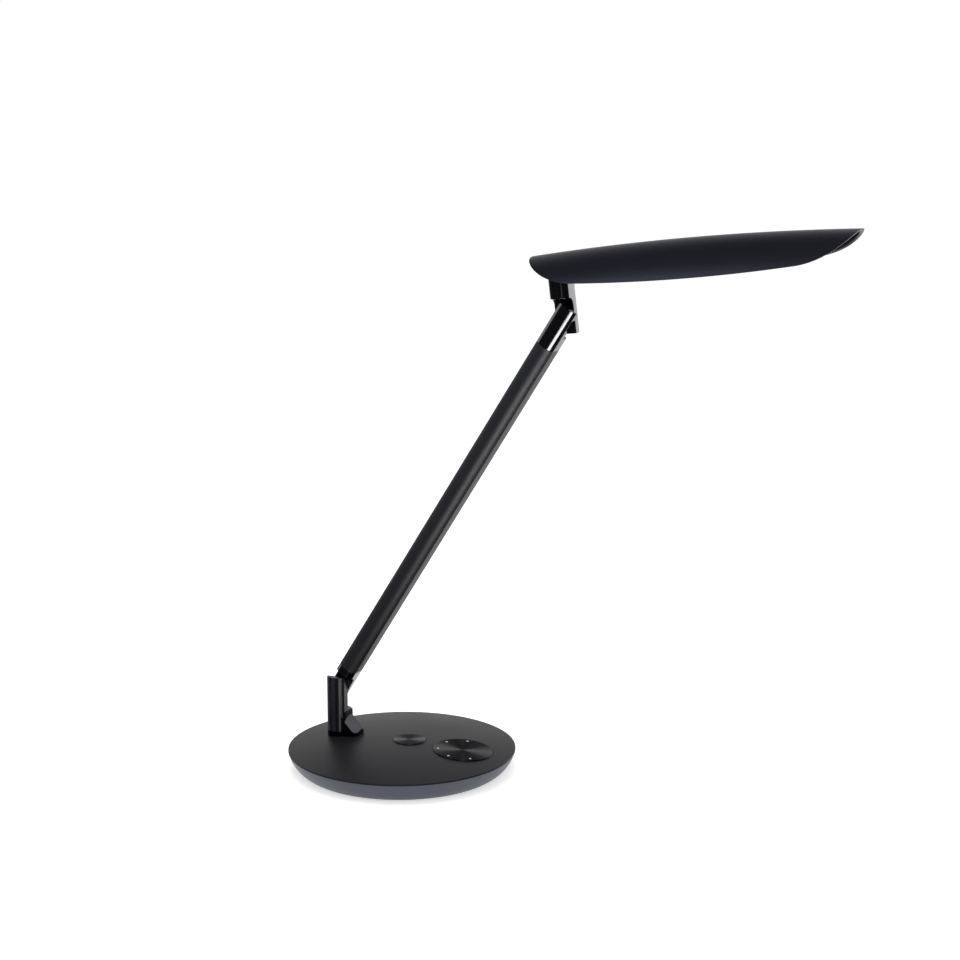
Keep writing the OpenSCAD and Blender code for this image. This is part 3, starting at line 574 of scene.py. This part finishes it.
def disc_profile(rows, radius):
    """Profile of (radius, height), from rows of (share of the radius, added distance, height)."""
    share, added, height = np.array(rows).T
    return np.column_stack([share * radius + added, height])


# ---- the head's curves ------------------------------------------------------------------------


class HeadCurves:
    """The head's side-view arcs: one ridge circle, and a rim of a middle and two end circles."""

    def __init__(self, sizes):
        self.half = sizes.head_length / 2
        self.ridge = (self.half**2 + sizes.head_bow**2) / (2 * sizes.head_bow)
        self.ridge_n = sizes.head_bow - self.ridge
        self.arch = sizes.arch_radius
        self.mid = sizes.rim_mid_radius
        self.mid_n = self.mid - sizes.rim_drop
        self.end = sizes.rim_end_radius
        reach = math.hypot(self.half, self.mid_n)
        along = ((self.mid - self.end) ** 2 - self.end**2 + reach**2) / (2 * reach)
        off = math.sqrt((self.mid - self.end) ** 2 - along**2)
        self.end_u = (along * self.half - off * self.mid_n) / reach
        self.end_n = self.mid_n - (along * self.mid_n + off * self.half) / reach
        self.join = self.end_u * self.mid / (self.mid - self.end)

    def rim(self, u, inset=0.0):
        """Height of the rim's line at u, moved inwards by inset."""
        u = np.abs(u)
        middle = self.mid_n - np.sqrt(np.maximum((self.mid - inset) ** 2 - u**2, 0))
        reach = np.clip(u - self.end_u, -(self.end - inset), self.end - inset)
        ends = self.end_n - np.sqrt((self.end - inset) ** 2 - reach**2)
        return np.where(u < self.join * (1 - inset / self.mid), middle, ends)

    def point(self, turn, phi, inset=0.0):
        """Point of the arched tube: turn along the ridge circle, phi round the section."""
        spread = self.ridge - self.arch + (self.arch - inset) * np.cos(phi)
        return np.stack(
            [spread * np.sin(turn), (self.arch - inset) * np.sin(phi) + 0 * turn,
             self.ridge_n + spread * np.cos(turn)], -1
        )

    def edge_angle(self, turn, inset=0.0, rim_inset=0.0):
        """Section angle at which the tube meets the rim's line, by halving an interval."""
        low, high = np.zeros_like(turn), np.full_like(turn, WIDEST_SECTION)
        for _ in range(HALVINGS):
            middle = (low + high) / 2
            at = self.point(turn, middle, inset)
            above = at[..., 2] > self.rim(at[..., 0], rim_inset)
            low, high = np.where(above, middle, low), np.where(above, high, middle)
        return (low + high) / 2

    def tip_turn(self, inset=0.0, rim_inset=0.0):
        """Turn along the ridge at which the tube's ridge reaches the rim's line."""
        low, high = 0.0, math.asin(min(1.0, self.half * PAST_THE_TIP / self.ridge))
        for _ in range(HALVINGS):
            middle = (low + high) / 2
            at = self.point(np.array([middle]), np.array([0.0]), inset)[0]
            above = at[2] > self.rim(np.array([at[0]]), rim_inset)[0]
            low, high = (middle, high) if above else (low, middle)
        return (low + high) / 2

    def arched(self, rows, cols, inset=0.0, rim_inset=0.0):
        """The arched sheet over the rim's line: rows from tip to tip, columns across it."""
        limit = self.tip_turn(inset, rim_inset)
        turn = np.sin(np.linspace(-math.pi / 2, math.pi / 2, rows)) * limit
        reach = self.edge_angle(turn, inset, rim_inset)
        reach[0] = reach[-1] = 0.0
        part = np.linspace(-1, 1, cols)
        return self.point(turn[:, None], reach[:, None] * part[None, :], inset)


# ---- material helpers -------------------------------------------------------------------------


def effect_group(name, inputs, outputs):
    """An empty shader node group with named sockets."""
    group = bpy.data.node_groups.new(name, "ShaderNodeTree")
    for label, kind, value in inputs:
        socket = group.interface.new_socket(label, in_out="INPUT", socket_type=kind)
        socket.default_value = value
    for label, kind in outputs:
        group.interface.new_socket(label, in_out="OUTPUT", socket_type=kind)
    return group, group.nodes.new("NodeGroupInput"), group.nodes.new("NodeGroupOutput")


def grain_group():
    """Fine surface grain: two noises give a height, a shade of colour and a roughness."""
    if "fine_grain" in bpy.data.node_groups:
        return bpy.data.node_groups["fine_grain"]
    group, entry, leave = effect_group(
        "fine_grain",
        [("Color", "NodeSocketColor", (0.1, 0.1, 0.1, 1)), ("Scale", "NodeSocketFloat", 900.0),
         ("Shade", "NodeSocketFloat", 0.15), ("Roughness", "NodeSocketFloat", 0.45),
         ("Unevenness", "NodeSocketFloat", 0.08)],
        [("Color", "NodeSocketColor"), ("Roughness", "NodeSocketFloat"),
         ("Height", "NodeSocketFloat")],
    )
    add, link = group.nodes.new, group.links.new
    place = add("ShaderNodeTexCoord")
    fine, broad = add("ShaderNodeTexNoise"), add("ShaderNodeTexNoise")
    fine.inputs["Detail"].default_value = 3.0
    broad.inputs["Scale"].default_value = 28.0
    broad.inputs["Detail"].default_value = 4.0
    link(place.outputs["Object"], fine.inputs["Vector"])
    link(place.outputs["Object"], broad.inputs["Vector"])
    link(entry.outputs["Scale"], fine.inputs["Scale"])
    both = add("ShaderNodeMath")
    both.operation = "MULTIPLY_ADD"
    both.inputs[1].default_value = FINE_SHARE
    link(fine.outputs["Fac"], both.inputs[0])
    link(broad.outputs["Fac"], both.inputs[2])
    centred = add("ShaderNodeMath")
    centred.operation = "SUBTRACT"
    centred.inputs[1].default_value = (1 + FINE_SHARE) / 2
    link(both.outputs[0], centred.inputs[0])
    shade = add("ShaderNodeMath")
    shade.operation = "MULTIPLY_ADD"
    shade.inputs[2].default_value = 1.0
    link(centred.outputs[0], shade.inputs[0])
    link(entry.outputs["Shade"], shade.inputs[1])
    scaled = add("ShaderNodeVectorMath")
    scaled.operation = "SCALE"
    link(entry.outputs["Color"], scaled.inputs[0])
    link(shade.outputs[0], scaled.inputs["Scale"])
    link(scaled.outputs[0], leave.inputs["Color"])
    rough = add("ShaderNodeMath")
    rough.operation = "MULTIPLY_ADD"
    link(centred.outputs[0], rough.inputs[0])
    link(entry.outputs["Unevenness"], rough.inputs[1])
    link(entry.outputs["Roughness"], rough.inputs[2])
    link(rough.outputs[0], leave.inputs["Roughness"])
    link(fine.outputs["Fac"], leave.inputs["Height"])
    return group


def finish_material(name, colour):
    """A principled finish whose colour, roughness and relief come from the fine grain."""
    if name in bpy.data.materials:
        return bpy.data.materials[name]
    finish = FINISHES[name]
    material = bpy.data.materials.new(name)
    material.use_nodes = True
    nodes, link = material.node_tree.nodes, material.node_tree.links.new
    shader = nodes["Principled BSDF"]
    grain = nodes.new("ShaderNodeGroup")
    grain.node_tree = grain_group()
    grain.inputs["Color"].default_value = (*colour, 1)
    grain.inputs["Scale"].default_value = finish.scale
    grain.inputs["Shade"].default_value = finish.shade
    grain.inputs["Roughness"].default_value = finish.roughness
    grain.inputs["Unevenness"].default_value = finish.unevenness
    link(grain.outputs["Color"], shader.inputs["Base Color"])
    link(grain.outputs["Roughness"], shader.inputs["Roughness"])
    relief = nodes.new("ShaderNodeBump")
    relief.inputs["Strength"].default_value = finish.relief
    relief.inputs["Distance"].default_value = 0.00006
    link(grain.outputs["Height"], relief.inputs["Height"])
    link(relief.outputs["Normal"], shader.inputs["Normal"])
    shader.inputs["Metallic"].default_value = finish.metallic
    shader.inputs["Specular IOR Level"].default_value = finish.specular
    shader.inputs["IOR"].default_value = finish.ior
    if finish.anisotropic:
        shader.inputs["Anisotropic"].default_value = finish.anisotropic
        along = nodes.new("ShaderNodeTangent")
        along.direction_type = "UV_MAP"
        along.uv_map = "drawn"
        link(along.outputs["Tangent"], shader.inputs["Tangent"])
    material.diffuse_color = (*colour, 1)
    return material


def dress(nodes, material):
    """Gives carried-over CAD nodes a finish."""
    for name in nodes:
        mesh = NODES[name].data
        mesh.materials.clear()
        mesh.materials.append(material)


def colours():
    """The lamp's colours, as the panel holds them."""
    return bpy.context.scene.lamp_colours


def sizes_now():
    """The lamp's sizes, as the panel holds them."""
    return bpy.context.scene.lamp_sizes


# ---- operators --------------------------------------------------------------------------------


class LAMP_OT_base(bpy.types.Operator):
    """Finish the base's bowl, foot pad, cover and domed top."""

    bl_idname = "lamp.base"
    bl_label = "Base"

    def execute(self, context):
        tone = colours()
        dress(["base_shell"], finish_material("bowl_satin", tone.bowl))
        dress(["top_plate"], finish_material("plate_texture", tone.plate))
        dress(["foot_pad"], finish_material("foam_pad", tone.rubber))
        dress(["bottom_cover"], finish_material("moulded_black", tone.rubber))
        dress(["power_inlet"], finish_material("inlet_black", tone.rubber))
        return {"FINISHED"}


class LAMP_OT_post(bpy.types.Operator):
    """Make the post with its half-lap top, its heel and its black foot."""

    bl_idname = "lamp.post"
    bl_label = "Post"

    def execute(self, context):
        sizes, tone = sizes_now(), colours()
        axis = LOWER_PIVOT[0]
        foot_top = float(dome_height(sizes, abs(axis))) + sizes.foot_rise
        pivot = LOWER_PIVOT[2]
        lacquer = finish_material("post_lacquer", tone.post)
        bar = stepped_bar(
            sizes, sizes.post_width, foot_top, pivot - sizes.post_step, pivot + sizes.lap_end
        )
        bar = moved(bar, lambda p: p + (axis, 0.0, 0.0))
        finish_piece(
            "post_bar", bar.mesh("post_bar", with_uv=True), "base", lacquer, ["post"],
            edge=sizes.edge_break * POST_EDGE,
        )
        mesh = self.heel(sizes, axis, foot_top).mesh("post_heel")
        # Painted shade and light on the heel: its sides get a darker, duller lacquer for the shade
        # on them, and its upward faces a light grey for the light from above.
        shade = finish_material("heel_side", tone.joint)
        finish_piece(
            "post_heel", mesh, "base", shade, ["post"],
            edge=sizes.edge_break * HEEL_EDGE,
        )
        mesh.materials.append(finish_material("heel_slope", tone.heel))
        step = axis + sizes.post_width / 2 + sizes.crown_out
        rise, place = face_values(mesh, "normal")[:, 2], face_values(mesh, "center")[:, 0]
        slope = (rise > LIT_SLOPE_RISE) & (place > step)
        mesh.polygons.foreach_set("material_index", slope.astype(np.int32))
        dress(["post_foot"], finish_material("foot_rubber", tone.foot))
        return {"FINISHED"}

    def heel(self, sizes, axis, foot_top):
        """Heel: a slope rounded across its width, and a narrower crown between it and the post.

        The plan's half width is straight up to the toe's corner arcs and follows them to the
        front. The slope's height over (x, y) is the slope line's height at x, less the drop
        (R - sqrt(R^2 - y^2)) / cos(a) of a circle of radius R across a line that climbs at a.
        """
        face = axis + sizes.post_width / 2
        toe, step = face + sizes.heel_length, face + sizes.crown_out
        lip, slope_top = foot_top + sizes.heel_lip, foot_top + sizes.heel_rise
        arc, wide = sizes.toe_corner, sizes.heel_half
        climb = math.atan2(slope_top - lip, toe - step)
        corner = toe - arc + arc * np.sin(np.linspace(0, math.pi / 2, TOE_STEPS))
        straight = np.linspace(face - sizes.heel_tuck, toe - arc, SLOPE_STEPS)[:-1]
        x = np.concatenate([[axis], straight, corner])
        lead = np.clip(x - (toe - arc), 0, arc)
        half = (wide - arc + np.sqrt(arc**2 - lead**2))[:, None]
        y = half * np.linspace(-1, 1, HEEL_COLUMNS)[None, :]
        drop = (sizes.heel_bow - np.sqrt(sizes.heel_bow**2 - y**2)) / math.cos(climb)
        line = lip + (toe - x)[:, None] * math.tan(climb)
        top = np.minimum(line - drop, slope_top)
        x = np.broadcast_to(x[:, None], y.shape)
        rows = np.stack([x, y, top], -1)
        low = np.stack([x, y, 0 * y + foot_top], -1)[:, [-1, 0]]
        work = Patchwork().grid(np.concatenate([rows, low], 1), wrap_cols=True)
        for end in (0, -1):
            work.cap(np.concatenate([rows[end], low[end]]))
        crown = LOWER_PIVOT[2] - sizes.post_step - sizes.crown_drop
        wide, small = sizes.flat_depth / 2, sizes.crown_round
        bend = np.linspace(0, math.pi / 2, CROWN_STEPS)
        edge = np.stack(
            [step - small + small * np.cos(bend), wide - small + small * np.sin(bend)], -1
        )
        plan = np.concatenate([edge, [[axis, wide], [axis, -wide]], edge[::-1] * (1, -1)])
        levels = [np.column_stack([plan, np.full(len(plan), z)]) for z in (foot_top, crown)]
        work.grid(np.stack(levels), wrap_cols=True)
        work.cap(levels[0]).cap(levels[1])
        return work


class LAMP_OT_arm(bpy.types.Operator):
    """Make the arm's tube and the two gloss joints in its ends."""

    bl_idname = "lamp.arm"
    bl_label = "Arm"

    def execute(self, context):
        sizes, tone = sizes_now(), colours()
        tilt, span = arm_tilt(), arm_length()
        low = sizes.lap_shoulder + sizes.collar_low
        up = span - sizes.lap_shoulder - sizes.collar_up

        def on_arm(points):
            """Across, depth and along become the arm's own frame, and then the lamp's."""
            return tilted(np.stack([points[..., 2], points[..., 1], -points[..., 0]], -1),
                          LOWER_PIVOT, tilt)

        lacquer = finish_material("joint_lacquer", tone.joint)
        satin = finish_material("arm_satin", tone.arm)
        tube = Patchwork()
        outer = section_ring(sizes, sizes.arm_height)
        inner = section_ring(sizes, sizes.arm_height, sizes.tube_wall)
        walls = [
            np.column_stack([ring, np.full(len(ring), at)])
            for ring, at in (
                (outer, low + HAIRLINE), (outer, up - HAIRLINE),
                (inner, up - HAIRLINE), (inner, low + HAIRLINE),
            )
        ]
        tube.grid(np.stack(walls), wrap_rows=True, wrap_cols=True, uv=drawn_uv(np.stack(walls)))
        finish_piece(
            "arm_extrusion", moved(tube, on_arm).mesh("arm_extrusion", with_uv=True), "arm",
            satin, ["arm_tube"], edge=sizes.edge_break * TUBE_EDGE,
        )
        lower = stepped_bar(sizes, sizes.arm_height, low, -sizes.lap_end, sizes.lap_shoulder)
        finish_piece(
            "lower_joint", moved(lower, on_arm).mesh("lower_joint", with_uv=True), "arm", lacquer,
            ["lower_arm_joint"], edge=sizes.edge_break,
        )
        upper = stepped_bar(
            sizes, sizes.arm_height, up, span - sizes.lap_shoulder, span + sizes.lap_end
        )
        finish_piece(
            "upper_joint", moved(upper, on_arm).mesh("upper_joint", with_uv=True), "arm", lacquer,
            ["upper_arm_joint"], edge=sizes.edge_break,
        )
        dress(["arm_screws", "lower_pivot_screw", "upper_pivot_screw"],
              finish_material("screw_plating", tone.steel))
        dress(["lower_pivot_cap", "upper_pivot_cap"], lacquer)
        return {"FINISHED"}


class LAMP_OT_neck(bpy.types.Operator):
    """Make the neck that carries the head on the arm's upper joint."""

    bl_idname = "lamp.neck"
    bl_label = "Neck"

    def execute(self, context):
        sizes = sizes_now()
        lacquer = bpy.data.materials["joint_lacquer"]
        half = sizes.arm_height / 2
        far_end = -(math.sqrt(sizes.lap_shoulder**2 - half**2) - sizes.neck_gap)
        bar = stepped_bar(
            sizes, sizes.arm_height, sizes.neck_length - sizes.spine_drop, far_end,
            sizes.lap_shoulder,
        )
        bar = moved(bar, lambda p: tilted(p, UPPER_PIVOT, sizes.head_tilt))
        finish_piece(
            "neck_bar", bar.mesh("neck_bar", with_uv=True), "head", lacquer, ["neck"],
            edge=sizes.edge_break,
        )
        return {"FINISHED"}


class LAMP_OT_head(bpy.types.Operator):
    """Make the head's arched shell, and finish its cover, diffuser and screws."""

    bl_idname = "lamp.head"
    bl_label = "Head"

    def execute(self, context):
        sizes, tone = sizes_now(), colours()
        curves = HeadCurves(sizes)
        outer = curves.arched(SHELL_ROWS, SHELL_COLUMNS)
        inner = curves.arched(SHELL_ROWS, SHELL_COLUMNS, inset=sizes.shell_wall)
        work = Patchwork()
        work.grid(outer)
        work.grid(inner)
        for side in (0, -1):
            work.grid(np.stack([outer[:, side], inner[:, side]], 1))
        work = moved(work, lambda p: on_head(p, sizes))
        texture = finish_material("head_texture", tone.head)
        finish_piece(
            "head_arch", work.mesh("head_arch"), "head", texture, ["head_shell"],
            edge=sizes.edge_break, angle=50,
        )
        dress(["diffuser"], finish_material("opal_sheet", tone.opal))
        dress(["head_cover"], finish_material("cover_texture", tone.head))
        dress(["head_cover_screws", "spine_screws", "neck_screws"],
              bpy.data.materials["screw_plating"])
        return {"FINISHED"}


class LAMP_OT_controls(bpy.types.Operator):
    """Make the dimmer dial with its dots and the power button."""

    bl_idname = "lamp.controls"
    bl_label = "Controls"

    def execute(self, context):
        sizes, tone = sizes_now(), colours()
        face = finish_material("dial_turned", tone.dial)
        metal = finish_material("button_turned", tone.button)
        profile = disc_profile(DIAL_PROFILE, sizes.dial_radius)
        surface, uv = turned(profile, DIAL_STEPS, DIAL_PLACE, DIAL_AXIS)
        disc = Patchwork().grid(surface, wrap_cols=True, uv=uv)
        finish_piece("dial_disc", disc.mesh("dial_disc", with_uv=True), "dial", face, ["dial"],
                     angle=30)
        dress(["dial_dots"], finish_material("dot_print", tone.dots))
        profile = disc_profile(BUTTON_PROFILE, sizes.button_radius)
        top = float(dome_height(sizes, sizes.button_offset))
        surface, uv = turned(profile, BUTTON_STEPS, (sizes.button_offset, 0, top))
        disc = Patchwork().grid(surface, wrap_cols=True, uv=uv)
        finish_piece("button_disc", disc.mesh("button_disc", with_uv=True), "button", metal,
                     ["power_button"], angle=30)
        return {"FINISHED"}


class LAMP_OT_inner_parts(bpy.types.Operator):
    """Finish the parts inside the base, the arm and the head."""

    bl_idname = "lamp.inner_parts"
    bl_label = "Inner Parts"

    def execute(self, context):
        dress(["cover_screws", "plate_screws", "post_screws", "lower_spring_washer",
               "upper_spring_washer"], bpy.data.materials["screw_plating"])
        for nodes, finish, colour in INNER_PARTS:
            dress(nodes, finish_material(finish, colour))
        return {"FINISHED"}


class LAMP_OT_stage(bpy.types.Operator):
    """Set up the floor, the lamps, the world and the camera."""

    bl_idname = "lamp.stage"
    bl_label = "Stage"

    def execute(self, context):
        scene, tone, sizes = context.scene, colours(), sizes_now()
        scene.view_settings.view_transform = "Standard"
        self.floor(tone)
        self.world(scene)
        self.flag()
        for panel in PANELS:
            self.panel(*panel)
        for card in CARDS:
            self.card(*card)
        self.camera(scene, sizes)
        return {"FINISHED"}

    def floor(self, tone):
        """A flat disc far wider than the view, given as rings round a pole."""
        surface, _ = turned([(0.0, 0.0)] + [(ring, 0.0) for ring in FLOOR_RINGS], FLOOR_STEPS)
        mesh = Patchwork().grid(surface, wrap_cols=True).mesh("studio_floor")
        floor = bpy.data.objects.new("studio_floor", mesh)
        bpy.context.scene.collection.objects.link(floor)
        material = bpy.data.materials.new("floor_paper")
        material.use_nodes = True
        nodes, link = material.node_tree.nodes, material.node_tree.links.new
        shader = nodes["Principled BSDF"]
        shader.inputs["Roughness"].default_value = 0.9
        shader.inputs["Specular IOR Level"].default_value = 0.0
        place, noise, ramp = (nodes.new(n) for n in (
            "ShaderNodeTexCoord", "ShaderNodeTexNoise", "ShaderNodeValToRGB"))
        noise.inputs["Scale"].default_value = 3.0
        ramp.color_ramp.elements[0].color = (*[c * FLOOR_SHADE for c in tone.floor], 1)
        ramp.color_ramp.elements[1].color = (*tone.floor, 1)
        link(place.outputs["Object"], noise.inputs["Vector"])
        link(noise.outputs["Fac"], ramp.inputs["Fac"])
        link(ramp.outputs["Color"], shader.inputs["Base Color"])
        shader.inputs["Emission Color"].default_value = (1, 1, 1, 1)
        lift = nodes.new("ShaderNodeMath")
        lift.operation = "MULTIPLY"
        lift.inputs[1].default_value = FLOOR_GLOW
        link(self.seen(nodes, link), lift.inputs[0])
        link(lift.outputs[0], shader.inputs["Emission Strength"])
        mesh.materials.append(material)

    def seen(self, nodes, link):
        """Mask of the rays that see the background itself or its mirror image."""
        path = nodes.new("ShaderNodeLightPath")
        total = path.outputs["Is Camera Ray"]
        for name in ("Is Glossy Ray", "Is Transmission Ray"):
            most = nodes.new("ShaderNodeMath")
            most.operation = "MAXIMUM"
            link(total, most.inputs[0])
            link(path.outputs[name], most.inputs[1])
            total = most.outputs[0]
        return total

    def world(self, scene):
        """White all round to the eye and in reflections, and a soft even light elsewhere."""
        world = bpy.data.worlds.new("studio_air")
        scene.world = world
        world.use_nodes = True
        nodes, link = world.node_tree.nodes, world.node_tree.links.new
        back = nodes["Background"]
        back.inputs["Color"].default_value = (1, 1, 1, 1)
        level = nodes.new("ShaderNodeMapRange")
        level.inputs["To Min"].default_value = AIR_FILL
        level.inputs["To Max"].default_value = 1.0
        link(self.seen(nodes, link), level.inputs["Value"])
        link(level.outputs["Result"], back.inputs["Strength"])

    def flag(self):
        """A dark studio flag: part of a sphere over the top and the front, seen in gloss only.

        Longitude a and height angle b give the point R (cos b sin a, -cos b cos a, sin b).
        Behind the lamp it starts higher, and its lower band there is a lighter haze. A ring
        sheet on the ground belongs to it, from beside the base out to the sphere.
        """
        def patch(side, side_steps, low, high):
            """Part of the sphere, by its reach to each side and two height angles in degrees."""
            a, b = np.meshgrid(
                np.radians(np.linspace(-side, side, side_steps)),
                np.radians(np.linspace(low, high, FLAG_RISES)), indexing="ij",
            )
            across = np.cos(b)
            return FLAG_RADIUS * np.stack([across * np.sin(a), -across * np.cos(a), np.sin(b)], -1)

        work = Patchwork()
        work.grid(patch(FLAG_SIDE, FLAG_STEPS, FLAG_FOOT, FLAG_OPEN))
        work.grid(patch(180, SKY_STEPS, FLAG_OPEN, 90))
        a, r = np.meshgrid(
            np.radians(np.linspace(-FLAG_SIDE, FLAG_GROUND_END, FLAG_STEPS)),
            np.geomspace(*FLAG_GROUND, GROUND_RINGS), indexing="ij",
        )
        work.grid(np.stack([r * np.sin(a), -r * np.cos(a), 0 * r + FLAG_GROUND_LEVEL], -1))
        mesh = work.mesh("dark_flag", join=1e-4)
        self.gloss_only("dark_flag", mesh, self.glow("flag_cloth", FLAG_CLOTH_GLOW))
        mesh.materials.append(self.glow("flag_haze", FLAG_HAZE_GLOW))
        centres = face_values(mesh, "center")
        flat = np.hypot(centres[:, 0], centres[:, 1])
        behind = centres[:, 1] > -flat * math.cos(math.radians(FLAG_SIDE))
        low = centres[:, 2] < flat * math.tan(math.radians(FLAG_HAZE_TOP))
        haze = behind & low & (centres[:, 2] > FLAG_HAZE_LEVEL)
        mesh.polygons.foreach_set("material_index", haze.astype(np.int32))

    def card(self, name, middle, along, across, colour):
        """A bright card that only gloss sees: its middle, plus or minus two half sides."""
        part = np.array([-1.0, 1.0])
        middle, along, across = (np.asarray(v, float) for v in (middle, along, across))
        sheet = middle + part[:, None, None] * along + part[None, :, None] * across
        mesh = Patchwork().grid(sheet).mesh(name)
        self.gloss_only(name, mesh, self.glow(name + "_paper", colour))

    def gloss_only(self, name, mesh, material):
        """A stage object that is seen in gloss, and in no other way."""
        thing = bpy.data.objects.new(name, mesh)
        bpy.context.scene.collection.objects.link(thing)
        mesh.materials.append(material)
        thing.visible_camera = thing.visible_diffuse = thing.visible_shadow = False
        thing.visible_transmission = thing.visible_volume_scatter = False

    def glow(self, name, colour):
        """A dull surface that shines evenly in one colour."""
        material = bpy.data.materials.new(name)
        material.use_nodes = True
        shader = material.node_tree.nodes["Principled BSDF"]
        shader.inputs["Base Color"].default_value = (0, 0, 0, 1)
        shader.inputs["Roughness"].default_value = 1.0
        shader.inputs["Specular IOR Level"].default_value = 0.0
        shader.inputs["Emission Color"].default_value = (*[c / max(colour) for c in colour], 1)
        shader.inputs["Emission Strength"].default_value = max(colour)
        return material

    def panel(self, name, at, aim, size, power, mirrored):
        """A soft rectangular lamp at a place, turned towards a point; mirrored: seen in gloss."""
        lamp = bpy.data.lights.new(name, "AREA")
        lamp.shape, lamp.size, lamp.size_y, lamp.energy = "RECTANGLE", size[0], size[1], power
        lamp_object = bpy.data.objects.new(name, lamp)
        bpy.context.scene.collection.objects.link(lamp_object)
        lamp_object.location = at
        lamp_object.rotation_euler = (Vector(aim) - Vector(at)).to_track_quat("-Z", "Y").to_euler()
        lamp_object.visible_camera = False
        lamp_object.visible_glossy = mirrored

    def camera(self, scene, sizes):
        """A camera from the near right, slightly above, looking down at the lamp."""
        turn, pitch = CAMERA_TURN, CAMERA_PITCH
        right = Vector((math.cos(turn), math.sin(turn), 0))
        ahead = Vector((
            -math.sin(turn) * math.cos(pitch), math.cos(turn) * math.cos(pitch), -math.sin(pitch)
        ))
        up = right.cross(ahead)
        data = bpy.data.cameras.new("lamp_camera")
        data.lens, data.sensor_width = sizes.camera_lens, 36.0
        data.clip_end = 100.0
        camera = bpy.data.objects.new("lamp_camera", data)
        scene.collection.objects.link(camera)
        axes = Matrix((right, up, -ahead)).transposed().to_4x4()
        camera.matrix_world = Matrix.Translation(CAMERA_PLACE) @ axes
        scene.camera = camera


class LAMP_PT_panel(bpy.types.Panel):
    """Lists the lamp's operators."""

    bl_idname = "LAMP_PT_panel"
    bl_label = "Desk Lamp"
    bl_space_type = "VIEW_3D"
    bl_region_type = "UI"
    bl_category = "Desk Lamp"

    def draw(self, context):
        column = self.layout.column()
        for operator in OPERATORS:
            column.operator(operator.bl_idname)


OPERATORS = (
    LAMP_OT_base, LAMP_OT_post, LAMP_OT_arm, LAMP_OT_neck, LAMP_OT_head, LAMP_OT_controls,
    LAMP_OT_inner_parts, LAMP_OT_stage,
)
CLASSES = (LampSizes, LampColours, *OPERATORS, LAMP_PT_panel)


def register():
    """Registers the classes and hangs the sizes and colours on the scene."""
    for one in CLASSES:
        bpy.utils.register_class(one)
    bpy.types.Scene.lamp_sizes = bpy.props.PointerProperty(type=LampSizes)
    bpy.types.Scene.lamp_colours = bpy.props.PointerProperty(type=LampColours)


def unregister():
    """Removes what register made."""
    del bpy.types.Scene.lamp_sizes
    del bpy.types.Scene.lamp_colours
    for one in reversed(CLASSES):
        bpy.utils.unregister_class(one)


def main():
    """Builds the whole lamp."""
    register()
    bpy.ops.lamp.base()
    bpy.ops.lamp.post()
    bpy.ops.lamp.arm()
    bpy.ops.lamp.neck()
    bpy.ops.lamp.head()
    bpy.ops.lamp.controls()
    bpy.ops.lamp.inner_parts()
    bpy.ops.lamp.stage()


if __name__ == "__main__":
    main()
